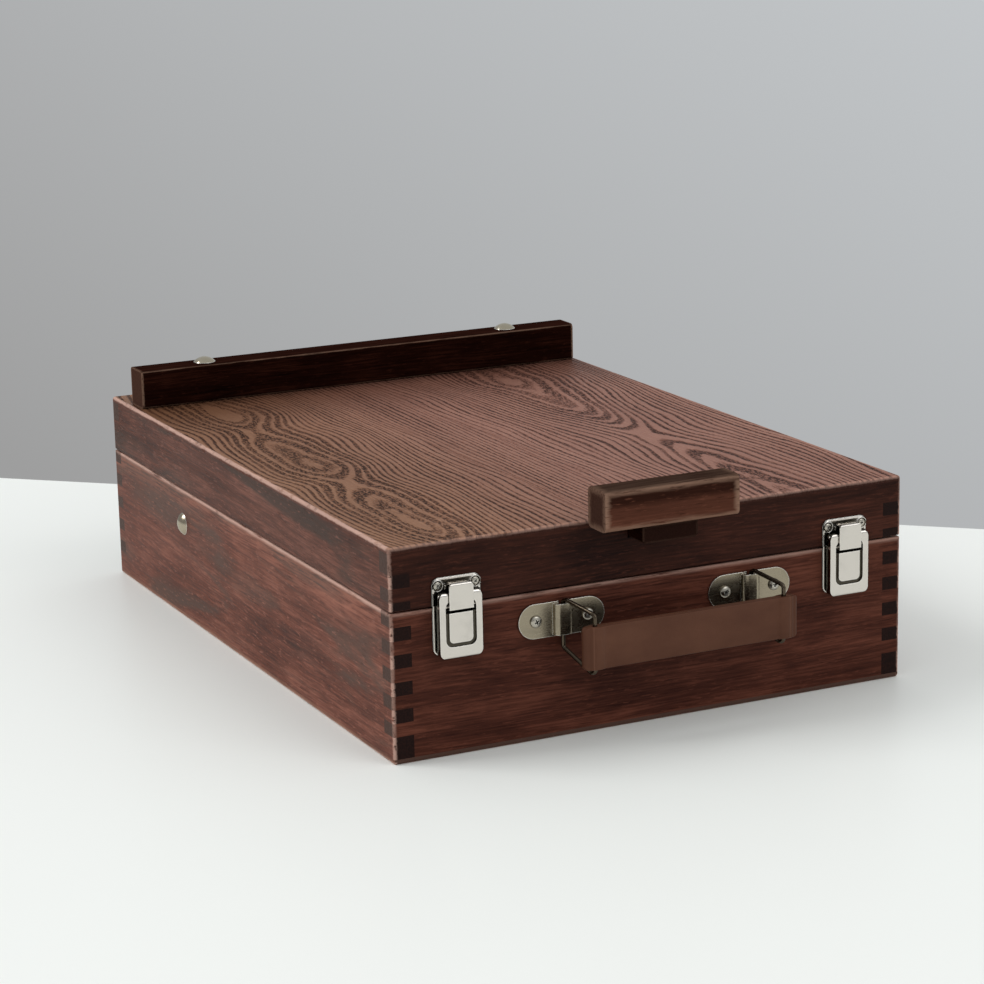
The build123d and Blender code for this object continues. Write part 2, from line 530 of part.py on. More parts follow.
def make_latches():
    pins, plate_screws, strike_screws = [], [], []
    for side, sign in SIDES:
        x = sign * LATCH_X
        plate, strike = latch_plate(x), strike_plate(x)
        for end in (-1, 1):
            at = front_plane(x + end * PLATE_SCREW_X, LEVER_Z0 + PLATE_SCREW_UP, PLATE_T)
            plate -= at * Cylinder(SMALL_SCREW[2] + FIT, 4 * PLATE_T)
            parts["base_front_wall"] -= at * pilot(*SMALL_SCREW[2:])
            plate_screws.append(at * pan_screw(*SMALL_SCREW))
            at = front_plane(x + end * STRIKE_SCREW_X, STRIKE_Z1 - STRIKE_SCREW_DOWN, PLATE_T)
            strike -= at * Cylinder(SMALL_SCREW[2] + FIT, 4 * PLATE_T)
            parts["lid_front_wall"] -= at * pilot(*SMALL_SCREW[2:])
            strike_screws.append(at * pan_screw(*SMALL_SCREW))
        pivot = latch_pin(x, PIVOT_OUT, PIVOT_Z)
        pins.append(pivot)
        parts[side + "_latch_plate"] = plate - pivot
        parts[side + "_strike_plate"] = strike
        parts[side + "_latch_lever"] = latch_lever(x)
        parts[side + "_hook_pin"] = latch_pin(x, HOOK_U, HOOK_Z)
        parts[side + "_latch_hook"] = latch_hook(x)
    parts["latch_pivot_pins"] = Compound(pins)
    parts["latch_plate_screws"] = Compound(plate_screws)
    parts["strike_screws"] = Compound(strike_screws)


# ------------------------------------------------------------------ handle
def saddle(x):
    """Round-ended plate with an upright channel pressed in its middle for the ring's bar."""
    plate = extrude(front_plane(x, SADDLE_Z) * SlotOverall(SADDLE_L, SADDLE_H), SADDLE_T)
    hump = extrude(front_plane(x, SADDLE_Z) * Rectangle(CHANNEL_W, CHANNEL_H), CHANNEL_OUT)
    crown = hump.faces().sort_by(Axis.Y)[0].edges().filter_by(Axis.Z)
    hump = fillet(crown, CHANNEL_R)
    half = WIRE_R + CHANNEL_PLAY
    tunnel = block(x - half, x + half, FRONT - RING_OUT, FRONT, 0, BASE_H)
    tunnel += Pos(x, FRONT - RING_OUT, 0) * Cylinder(half, BASE_H, align=UP)
    return plate + hump - tunnel


def ring_path():
    """Centre line of a ring, drawn in the plane of its two bars with the inner bar on X = 0."""
    slant = hypot(1, RING_DROOP)
    reach = (CHANNEL_OUT - RING_OUT) / cos(radians(RING_SWING))
    top = SADDLE_Z + CHANNEL_H / 2 + GAP + WIRE_R * slant + RING_DROOP * reach
    drop = RING_DROOP * RING_L
    return [(0, top), (0, top - RING_INNER_H), (RING_L, top - drop - RING_OUTER_H),
            (RING_L, top - drop)]


def ring(x):
    """Wire loop that hangs in a saddle, swung a little to the right."""
    turn = radians(RING_REST)
    plane = Plane(origin=(x, FRONT - RING_OUT, 0), x_dir=(sin(turn), -cos(turn), 0),
                  z_dir=(-cos(turn), -sin(turn), 0))
    path = plane * FilletPolyline(*ring_path(), radius=RING_R, close=True)
    loop = Part()
    for edge in path.edges():
        start = Plane(origin=edge @ 0, z_dir=edge % 0)
        if edge.geom_type == GeomType.LINE:
            loop += extrude(start * Circle(WIRE_R), edge.length)
        else:
            turn_axis = Axis(edge.arc_center, (edge % 0).cross(edge % 1))
            bend = degrees(edge.length / edge.radius)
            loop += revolve(start * Circle(WIRE_R), turn_axis, bend)
    return loop


def outer_bar(x):
    """Where the ring's outer bar stands, X and Y."""
    turn = radians(RING_REST)
    return x + RING_L * sin(turn), FRONT - RING_OUT - RING_L * cos(turn)


def grip():
    """Leather folded round the two outer bars and sewn flat between them."""
    (left, y), (right, _) = outer_bar(-SADDLE_X), outer_bar(SADDLE_X)
    middle = (left + right) / 2
    plan = Pos(middle, y) * SlotOverall(GRIP_L, GRIP_T)
    for bar in (left, right):
        plan += Pos(bar, y) * Ellipse(EYE_HALF_L, EYE_HALF_T)
    for bar in (left, right):
        plan -= Pos(bar, y) * Circle(WIRE_R + GAP)
    top = ring_path()[3][1] - GRIP_BELOW_BAR
    strap = Pos(0, 0, top - GRIP_H) * extrude(plan, GRIP_H)
    face = RectangleRounded(GRIP_L, GRIP_H, GRIP_CORNER)
    return strap & extrude(front_plane(middle, top - GRIP_H / 2) * face, 2 * RING_L)


def make_handle():
    screws = []
    for side, sign in SIDES:
        x = sign * SADDLE_X
        plate = saddle(x)
        for end in (-1, 1):
            at = front_plane(x + end * SADDLE_SCREW_SPACING / 2, SADDLE_Z, SADDLE_T)
            plate -= at * Cylinder(SADDLE_SCREW[2] + FIT, 4 * SADDLE_T)
            parts["base_front_wall"] -= at * pilot(*SADDLE_SCREW[2:])
            screws.append(at * pan_screw(*SADDLE_SCREW))
        parts[side + "_saddle"] = plate
        parts[side + "_ring"] = ring(x)
    parts["saddle_screws"] = Compound(screws)
    parts["grip"] = grip()


# ------------------------------------------------------------------ lid stay
def stay_link(x, start, end, start_hole, end_hole):
    """Flat link with round ends between two points of the Y-Z plane; its wall side is at x."""
    (y0, z0), (y1, z1) = start, end
    length = hypot(y1 - y0, z1 - z0)
    turn = degrees(atan2(z1 - z0, y1 - y0))
    plane = Plane(origin=(x, (y0 + y1) / 2, (z0 + z1) / 2), x_dir=(0, 1, 0), z_dir=(1, 0, 0))
    outline = Rot(0, 0, turn) * SlotCenterToCenter(length, STAY_W)
    link = extrude(plane * outline, STAY_T)
    for (y, z), radius in ((start, start_hole), (end, end_hole)):
        link -= inward_plane(x, y, z) * Cylinder(radius, 4 * STAY_T)
    return link


def make_stay():
    """Carriage bolt, two links, knee rivet, lid pivot and wing nut: a parallelogram with the hinge."""
    bolt_at = (STAY_BOLT_Y, STAY_BOLT_Z)
    lid_at = (STAY_LID_Y, STAY_LID_Z)
    knee = (STAY_KNEE_Y, STAY_KNEE_Z)
    second_x = STAY_X + STAY_T + GAP

    outward = Plane(origin=(-BOX_W / 2, *bolt_at), x_dir=(0, -1, 0), z_dir=(-1, 0, 0))
    reach = WALL + STAY_WALL_GAP + STAY_T + GAP + WING_HUB_H + BOLT_PROUD
    parts["stay_bolt"] = outward * carriage_bolt(reach)
    parts["base_left_wall"] -= outward * Cylinder(BOLT_R + FIT, 4 * WALL)
    parts["stay_base_link"] = stay_link(STAY_X, bolt_at, knee, BOLT_R + FIT, STAY_PIN_R)
    parts["stay_lid_link"] = stay_link(second_x, lid_at, knee, STAY_PIN_R + FIT, STAY_PIN_R + GAP)
    parts["stay_wing_nut"] = inward_plane(second_x, *bolt_at) * wing_nut()

    rivet_head = Pos(0, 0, 2 * (STAY_T + GAP)) * dome(STAY_HEAD_R, STAY_HEAD_T)
    rivet = Cylinder(STAY_PIN_R, 2 * (STAY_T + GAP), align=UP) + rivet_head
    parts["stay_knee_rivet"] = inward_plane(STAY_X, *knee) * rivet

    shoulder_h = STAY_WALL_GAP + STAY_T
    pivot_h = shoulder_h + STAY_T + 2 * GAP
    pivot = Cylinder(STAY_SHOULDER_R, shoulder_h, align=UP) + Cylinder(STAY_PIN_R, pivot_h, align=UP)
    pivot += Pos(0, 0, pivot_h) * dome(STAY_HEAD_R, STAY_HEAD_T) + below(STAY_SCREW_R, STAY_SCREW_L)
    parts["stay_lid_pivot"] = inward_plane(-INNER_X, *lid_at) * pivot
    parts["lid_left_wall"] -= inward_plane(-INNER_X, *lid_at) * pilot(STAY_SCREW_R, STAY_SCREW_L)


# ------------------------------------------------------------------ build and write
make_carcass()
make_tray()
make_clamp()
make_ledge()
make_hinges()
make_latches()
make_handle()
make_stay()

os.makedirs("parts", exist_ok=True)
for name, shape in parts.items():
    export_step(shape, f"parts/{name}.step")
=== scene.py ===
import json
import math

import bmesh
import bpy
from mathutils import Matrix, Vector


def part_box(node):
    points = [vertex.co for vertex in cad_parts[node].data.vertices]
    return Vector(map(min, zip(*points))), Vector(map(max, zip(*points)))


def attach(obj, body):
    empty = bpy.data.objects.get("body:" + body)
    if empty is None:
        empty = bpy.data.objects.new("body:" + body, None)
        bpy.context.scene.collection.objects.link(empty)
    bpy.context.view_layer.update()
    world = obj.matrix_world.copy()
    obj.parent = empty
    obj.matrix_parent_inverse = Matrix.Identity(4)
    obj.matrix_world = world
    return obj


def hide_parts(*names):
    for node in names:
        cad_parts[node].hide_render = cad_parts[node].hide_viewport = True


# A mahogany-stained pochade box on a pale table. Metres, in the frame of the CAD part: the box
# stands on Z = 0 with its front at -Y. Wood, metal and leather are procedural. The cross-recessed
# screws, the pressed rims of the latch and strike plates and the folded grip are meshes made here.

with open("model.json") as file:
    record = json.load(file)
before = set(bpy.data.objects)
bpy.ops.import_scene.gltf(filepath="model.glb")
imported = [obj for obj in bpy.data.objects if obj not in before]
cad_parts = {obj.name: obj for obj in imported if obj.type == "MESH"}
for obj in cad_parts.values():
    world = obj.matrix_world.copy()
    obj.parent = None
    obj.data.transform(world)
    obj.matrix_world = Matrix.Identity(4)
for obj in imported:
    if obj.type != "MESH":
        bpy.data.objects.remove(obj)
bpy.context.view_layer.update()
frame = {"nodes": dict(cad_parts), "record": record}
NODES = frame["nodes"]
RECORD = frame["record"]
X_GRAIN, Y_GRAIN = 0, 1


# ------------------------------------------------------------------ colours
def tint(red, green, blue):
    """Linear colour from an 8-bit display colour."""
    def linear(value):
        value /= 255
        return value / 12.92 if value <= 0.04045 else ((value + 0.055) / 1.055) ** 2.4
    return linear(red), linear(green), linear(blue), 1.0


# Dark, middle and light tone of each wood.
# The front and side tones of the walls are one stain: the shade on the fronts and the light on the
# sides are painted in.
MAHOGANY_SHADED = (tint(40, 18, 13), tint(67, 35, 26), tint(98, 56, 43))
MAHOGANY_LIT = (tint(56, 30, 24), tint(103, 61, 49), tint(149, 98, 82))
MAHOGANY_LID_SHADED = (tint(30, 15, 12), tint(53, 28, 21), tint(78, 43, 33))
MAHOGANY_LID_LIT = (tint(48, 27, 22), tint(88, 54, 44), tint(130, 87, 74))
CLAMP_TONES = (tint(30, 15, 11), tint(60, 34, 26), tint(100, 62, 48))
LEDGE_TONES = (tint(12, 4, 3), tint(27, 10, 6), tint(54, 27, 19))
VENEER_TONES = (tint(54, 31, 24), tint(120, 79, 65), tint(154, 111, 95))
BARE_TONES = (tint(150, 112, 78), tint(186, 148, 108), tint(208, 174, 134))
PALETTE_TONES = (tint(140, 98, 64), tint(172, 128, 88), tint(196, 154, 112))
PLY_TONES = (tint(92, 60, 48), tint(120, 82, 66), tint(146, 104, 86))

# Clamp ends and tops: the light on the left ends and tops and the shade on the slat's front end are
# painted in.
CLAMP_LIT_END, LEDGE_LIT_END, SLAT_SHADED_END = tint(58, 39, 32), tint(67, 46, 38), tint(34, 20, 16)
CLAMP_LIT_TOP, LEDGE_LIT_TOP = tint(62, 48, 40), tint(42, 21, 16)
# End grain seen on the sides has painted light, end grain seen on the front painted shade.
END_GRAIN_SHADED, END_GRAIN_LIT = tint(27, 16, 14), tint(74, 55, 48)
SIDE_DRIFT, LID_DRIFT = tint(84, 66, 58), tint(62, 50, 44)
RUBBED, CLAMP_RUBBED = tint(194, 158, 144), tint(146, 116, 98)
VENEER_OLIVE = tint(240, 243, 214)

# The second tone is a painted highlight for rounded metal edges.
POLISHED, PAINTED_EDGE_GLINT = tint(209, 203, 195), tint(238, 234, 226)
# The first tone is painted shade for narrow metal hollows, the second nickel in painted shade.
HOLLOW_SHADE, SHADED_NICKEL = tint(16, 14, 12), tint(70, 66, 58)
SATIN, WIRE_METAL, SCREW_METAL = tint(150, 140, 121), tint(82, 72, 60), tint(176, 170, 158)
HINGE_METAL, BOLT_METAL = tint(190, 184, 172), tint(176, 166, 146)
LEATHER_DARK, LEATHER_LIGHT = tint(78, 48, 35), tint(90, 58, 43)
# Painted shade of the strap's folds; burnished edges with a painted highlight.
LEATHER_FOLD_SHADE, LEATHER_BURNISH_AND_HIGHLIGHT = tint(74, 44, 30), tint(124, 88, 70)
TABLE, TABLE_SMUDGE = tint(235, 238, 235), tint(222, 224, 222)
WALL_LEFT, WALL_RIGHT = tint(158, 158, 158), tint(203, 207, 210)


# ------------------------------------------------------------------ node graphs
EDGE_SAMPLES = 6  # of the nodes that look at the surface round a point


class Graph:
    """Node tree of a material or world, built up one node at a time. where is the place in the
    part's frame."""

    def __init__(self, owner):
        owner.use_nodes = True
        self.owner, self.tree = owner, owner.node_tree
        self.tree.nodes.clear()
        self.place = self.add("ShaderNodeTexCoord").outputs
        self.where = self.place["Object"]

    def add(self, kind, inputs=None, **settings):
        node = self.tree.nodes.new(kind)
        for key, value in settings.items():
            setattr(node, key, value)
        for key, value in (inputs or {}).items():
            if isinstance(value, bpy.types.NodeSocket):
                self.tree.links.new(value, node.inputs[key])
            else:
                node.inputs[key].default_value = value
        return node

    def math(self, operation, *values, clamp=False):
        inputs = dict(enumerate(values))
        return self.add("ShaderNodeMath", inputs, operation=operation, use_clamp=clamp).outputs[0]

    def swing(self, noise, amount, around=0.0, clamp=False):
        """around, plus amount times how far a noise is from its middle."""
        away = self.math("SUBTRACT", noise, 0.5)
        return self.math("MULTIPLY_ADD", away, amount, around, clamp=clamp)

    def vector(self, operation, *values):
        inputs = dict(enumerate(values))
        return self.add("ShaderNodeVectorMath", inputs, operation=operation).outputs

    def scaled(self, scale, shift=(0, 0, 0), source=None):
        """where, or another source, times scale and moved by shift."""
        inputs = {"Vector": source or self.where, "Scale": scale, "Location": shift}
        return self.add("ShaderNodeMapping", inputs).outputs[0]

    def noise(self, where, detail=4.0, rough=0.55, distortion=0.0):
        inputs = {"Vector": where, "Scale": 1.0, "Detail": detail, "Roughness": rough,
                  "Distortion": distortion}
        return self.add("ShaderNodeTexNoise", inputs).outputs[0]

    def ramp(self, value, *stops):
        node = self.add("ShaderNodeValToRGB", {"Fac": value})
        while len(node.color_ramp.elements) < len(stops):
            node.color_ramp.elements.new(0.5)
        for element, (position, colour) in zip(node.color_ramp.elements, stops):
            element.position = position
            element.color = colour
        return node.outputs["Color"]

    def step(self, value, low, high):
        """0 below low, 1 above high, smooth between; low may be above high."""
        inputs = {"Value": value, "From Min": low, "From Max": high}
        return self.add("ShaderNodeMapRange", inputs, interpolation_type="SMOOTHSTEP").outputs[0]

    def mix(self, share, first, second, blend="MIX"):
        inputs = {0: share, 6: first, 7: second}  # the sockets of a colour mix
        return self.add("ShaderNodeMix", inputs, data_type="RGBA", blend_type=blend).outputs[2]

    def toward(self, colour, tone, share, most):
        """colour, gone over to tone by most where share is 1."""
        return self.mix(self.math("MULTIPLY", share, most), colour, tone)

    def axes(self, vector):
        return self.add("ShaderNodeSeparateXYZ", {"Vector": vector}).outputs

    def bevel(self, radius):
        """Normal of the surface with its edges rounded by radius."""
        return self.add("ShaderNodeBevel", {"Radius": radius}, samples=EDGE_SAMPLES).outputs[0]

    def rounded(self, radius):
        """How far the surface is from flat within radius, for edges with a painted highlight and
        burnished edges.
        """
        true = self.add("ShaderNodeNewGeometry").outputs["True Normal"]
        together = self.vector("DOT_PRODUCT", self.bevel(radius), true)["Value"]
        return self.math("SUBTRACT", 1.0, together, clamp=True)

    def near_edge(self, box, outer, inner, stray):
        """1 within inner of any edge of a box, 0 beyond outer; stray moves both limits."""
        low, high = box
        gaps = []
        for value, start, end in zip(self.axes(self.where), low, high):
            away = self.math("ABSOLUTE", self.math("SUBTRACT", value, (start + end) / 2))
            gaps.append(self.math("SUBTRACT", (end - start) / 2, away))
        first, second, third = gaps
        larger = self.math("MINIMUM", self.math("MAXIMUM", first, second), third)
        median = self.math("MAXIMUM", self.math("MINIMUM", first, second), larger)
        return self.step(self.math("ADD", median, stray), outer, inner)

    def bump(self, height, strength, distance, under=None):
        inputs = {"Height": height, "Strength": strength, "Distance": distance}
        if under:
            inputs["Normal"] = under
        return self.add("ShaderNodeBump", inputs).outputs[0]

    def finish(self, colour, roughness, normal=None, **constants):
        """Closes a material; the constants are inputs of the shader, with _ for a space."""
        inputs = {"Base Color": colour, "Roughness": roughness}
        if normal:
            inputs["Normal"] = normal
        inputs.update((key.replace("_", " "), value) for key, value in constants.items())
        shader = self.add("ShaderNodeBsdfPrincipled", inputs).outputs[0]
        self.add("ShaderNodeOutputMaterial", {"Surface": shader}, is_active_output=True)
        return self.owner


def stretched(along, fine, lengthwise):
    """Scale with fine detail across the grain and long detail along it."""
    scale = [fine] * 3
    scale[along] = lengthwise
    return scale


# ------------------------------------------------------------------ wood
# Waves per metre across and along the grain.
WARP, BANDS, STREAKS, PORES = (14, 3), (95, 2.4), (760, 30), (1500, 95)
CLOUDS, WANDER, FLECKS, PATCHES = (26, 12), (34, 6), (720, 130), (340, 30)
SPECKLES = (900, 900)
GRAIN_BEND = 0.02  # how far the warp moves the grain
FACING = (0.6, 0.9)  # share of the normal over which a face goes over to an end or a top
RUB_WHOLE = 0.0007  # the rub is whole this near to an edge
RUB_STRAY = 1.5  # how far the rub's limit wanders, of its border
RIM_DRY, RIM_WORN = (0.018, 0.001), (0.003, 0.0006)  # below the rim: where each starts and is whole
SPLIT_BLUR = (-0.002, 0.004)  # about the height of a split


def wood(name, along, tones, seed, end_grain, box, wear=1.0, blotch=0.5, gloss=0.42, rim=None,
         border=0.0022, top_tone=None, drift=None, sheen=0.05, split=None, rubbed=RUBBED):
    """Stained hardwood. along is the grain's axis, box the block whose edges are rubbed as far as
    border, rim the height of a top edge that is rubbed more, top_tone the tone of faces that look
    up, with the light and sheen on them painted in, drift a tone that the stain wanders to, split
    the height above which the stain is darker."""
    g = Graph(bpy.data.materials.new(name))
    shift = (seed * 1.37, seed * 0.71, seed * 2.13)
    dark, middle, light = tones

    def grain(scale, offset=shift, source=None, **settings):
        return g.noise(g.scaled(stretched(along, *scale), offset, source), **settings)

    bend = g.swing(grain(WARP, detail=2), GRAIN_BEND)
    bends = g.add("ShaderNodeCombineXYZ", {0: bend, 1: bend, 2: bend}).outputs[0]
    bent = g.vector("ADD", g.where, bends)[0]
    bands = grain(BANDS, source=bent, detail=5, rough=0.6)
    streaks = grain(STREAKS, source=bent, detail=4, rough=0.65)
    in_pore = g.step(grain(PORES, detail=2, rough=0.5), 0.6, 0.72)
    clouds = grain(CLOUDS, detail=4, rough=0.6, distortion=0.4)
    patchy = grain(PATCHES, detail=5, rough=0.7)

    # Stain.
    tone = g.swing(bands, 0.75, 0.5)
    tone = g.swing(streaks, 1.1, tone)
    tone = g.swing(clouds, 2.0 * blotch, tone, clamp=True)
    colour = g.ramp(tone, (0.12, dark), (0.5, middle), (0.88, light))
    if split is not None:
        start, end = SPLIT_BLUR
        upper = g.step(g.axes(bent)[2], split + start, split + end)
        colour = g.toward(g.mix(0.4, colour, light), dark, upper, 0.82)
    if drift:
        wander = grain(WANDER, (seed, 3.1, 5.7), detail=4, distortion=0.6)
        colour = g.toward(colour, drift, g.step(wander, 0.47, 0.62), 0.8)
    colour = g.toward(colour, dark, in_pore, 0.5)
    flecks = grain(FLECKS, (seed, 7.7, 1.9), detail=3, rough=0.6)
    colour = g.toward(colour, light, g.step(flecks, 0.56, 0.72), 0.55)

    # End grain; for the outer walls and clamps its tone has painted light on ends that face the
    # sides and painted shade on ends that face the front.
    speckle = g.step(grain(SPECKLES, detail=2), 0.35, 0.7)
    is_end = g.step(g.axes(g.vector("ABSOLUTE", g.place["Normal"])[0])[along], *FACING)
    colour = g.mix(is_end, colour, g.toward(end_grain, dark, speckle, 0.25))

    # Rubbed edges.
    near = g.near_edge(box, border, RUB_WHOLE, g.swing(patchy, RUB_STRAY * border))
    rub = g.math("MULTIPLY", near, g.step(patchy, 0.3, 0.52))
    if rim is not None:
        below = g.math("SUBTRACT", rim, g.axes(g.where)[2])
        dry = g.math("MULTIPLY", g.step(below, *RIM_DRY), g.step(streaks, 0.38, 0.62))
        dry = g.math("MULTIPLY", dry, g.math("MULTIPLY_ADD", is_end, -0.55, 0.55))
        colour = g.mix(dry, colour, light)
        worn = g.math("MULTIPLY", g.step(below, *RIM_WORN), g.step(patchy, 0.4, 0.62))
        rub = g.math("MAXIMUM", rub, worn)
    # Faces that look up take the top tone, which has painted light and sheen.
    if top_tone:
        upward = g.step(g.axes(g.place["Normal"])[2], *FACING)
        streaked = g.mix(g.step(streaks, 0.25, 0.6), dark, top_tone)
        colour = g.toward(colour, streaked, upward, 0.8)
        rub = g.math("MULTIPLY", rub, g.math("MULTIPLY_ADD", upward, -0.7, 1.0))
        rub = g.math("MULTIPLY", rub, g.math("MULTIPLY_ADD", is_end, -0.5, 1.0))
    colour = g.toward(colour, rubbed, rub, 0.92 * wear)

    rough = g.swing(streaks, 0.35, gloss)
    rough = g.math("MULTIPLY_ADD", rub, 0.15, rough, clamp=True)
    relief = g.math("MULTIPLY_ADD", in_pore, -0.6, streaks)
    return g.finish(colour, rough, g.bump(relief, 0.35, 0.0004), Specular_IOR_Level=sheen)


# Each heart: X of the tongues' line, Y of one tongue's core, their spacing, swing of the ring depth
# and half width over which the rings run nearly flat.
HEARTS = ((-0.119, -0.026, 0.157, 0.0048, 0.008), (0.089, 0.125, 0.58, 0.0115, 0.017))
HEART_LEAN = 0.6  # how much blunter the tongues are at the back than at their tips
HEART_SWAY = 0.05  # how far the tongues' line wanders in X
HEART_REACH = (0.075, 0.01)  # across a heart: where its tongues start and are whole
HEART_EASE = 0.013  # the rings lie further apart within this depth of a heart
CORE_DEPTH, CORE_EDGE = 0.0042, 0.0012  # ring depth to which a tongue's core is bare, and its edge
NEAR_HEART = (0.032, 0.012)  # ring depths at which the dark bands start to broaden and are broadest
RING_PITCH = 0.0038
PLAIN_PITCH = RING_PITCH / 1.1  # of the straight rings midway between the hearts
SEAM = (0.05, 0.018)  # difference of the two depths: where the straight rings start and are whole
MELT = 0.015  # over this difference one heart's depth goes over into the other's
RAGGED, RAGGED_NEAR = 0.0017, 0.0026  # jags of the rings, and what is added near a heart
WAVY = 0.007  # waves of the rings
VENEER_SEED = 3.0
# Waves per metre in X, Y and Z.
SWAY, RISE, WOBBLE, JAG = (9, 3.4, 1), (1, 11, 1), (30, 7, 1), (420, 85, 1)
GRIT, FIBRES, FADING = (760, 300, 1), (800, 24, 1), (45, 9, 1)
VENEER_CLOUDS, VENEER_PATCHES = (14, 6, 1), (60, 60, 60)
LEDGE_SHADOW_SPAN = ((0.06, 0.165), (0.2, 0.19))  # Y between which a painted shadow of the ledge darkens the veneer
OLIVE_FROM, OLIVE_TO = 0.02, -0.14  # X between which the veneer goes over to olive
LID_BORDER, LID_WHOLE, LID_STRAY = 0.0022, 0.001, 0.0025  # rubbed edges, as in wood()
LID_FRONT = (0.004, 0.0025)  # from the lid's front: where the rub starts to fade and is faded


def ring_bands(g, turns, near):
    """Dark band of each ring, each of its own width; near a heart the bands are broader."""
    number = g.add("ShaderNodeTexWhiteNoise", {"W": g.math("FLOOR", turns)}, noise_dimensions="1D")
    share = g.math("MULTIPLY_ADD", number.outputs[0], 0.28, 0.4)
    share = g.math("MULTIPLY_ADD", near, 0.36, share)
    phase = g.math("FRACT", turns)
    fall = g.step(phase, share, g.math("SUBTRACT", share, 0.3))
    return g.math("MULTIPLY", g.step(phase, 0.0, 0.12), fall)


def heart_depths(g, x, y, shift):
    """Depth of the rings round both hearts, and how far the two hearts' depths differ."""
    sway = g.noise(g.scaled(SWAY, shift), detail=2, rough=0.5)
    rise = g.noise(g.scaled(RISE, (VENEER_SEED, 2 * VENEER_SEED, 0.0)), detail=1)
    depths = []
    for heart_x, heart_y, spacing, swing, flat in HEARTS:
        across = g.math("SUBTRACT", x, g.swing(sway, HEART_SWAY, heart_x))
        spread = g.math("SQRT", g.math("MULTIPLY_ADD", across, across, flat ** 2))
        turn = g.math("MULTIPLY", g.math("SUBTRACT", y, heart_y), math.tau / spacing)
        lean = g.math("SUBTRACT", turn, HEART_LEAN)
        turn = g.math("MULTIPLY_ADD", g.math("COSINE", turn), HEART_LEAN, lean)
        swell = g.swing(rise, 1.6, g.math("COSINE", turn))
        fade = g.math("MULTIPLY", g.step(g.math("ABSOLUTE", across), *HEART_REACH), -swing)
        depths.append(g.math("MULTIPLY_ADD", swell, fade, spread))
    apart = g.math("ABSOLUTE", g.math("SUBTRACT", *depths))
    return g.math("SMOOTH_MIN", *depths, MELT), apart


def veneer_rings(g, x, y, shift):
    """Dark bands of the rings and how near a heart they are, each from 0 to 1."""
    depth, apart = heart_depths(g, x, y, shift)
    wobble = g.noise(g.scaled(WOBBLE, shift), detail=3, rough=0.55)
    jag = g.noise(g.scaled(JAG, shift), detail=4, rough=0.7)
    near = g.step(depth, *NEAR_HEART)
    ragged = g.math("MULTIPLY_ADD", near, RAGGED_NEAR, RAGGED)
    stray = g.swing(jag, ragged, g.swing(wobble, WAVY))
    depth = g.math("ADD", depth, stray)
    eased = g.math("SQRT", g.math("MULTIPLY_ADD", depth, depth, HEART_EASE ** 2))
    tongues = ring_bands(g, g.math("DIVIDE", eased, RING_PITCH), near)
    tongues = g.math("MULTIPLY", tongues, g.step(depth, CORE_DEPTH, CORE_DEPTH + CORE_EDGE))
    plain = ring_bands(g, g.math("MULTIPLY", g.math("ADD", x, stray), 1 / PLAIN_PITCH), 0.0)
    return g.mix(g.step(apart, *SEAM), tongues, plain), near


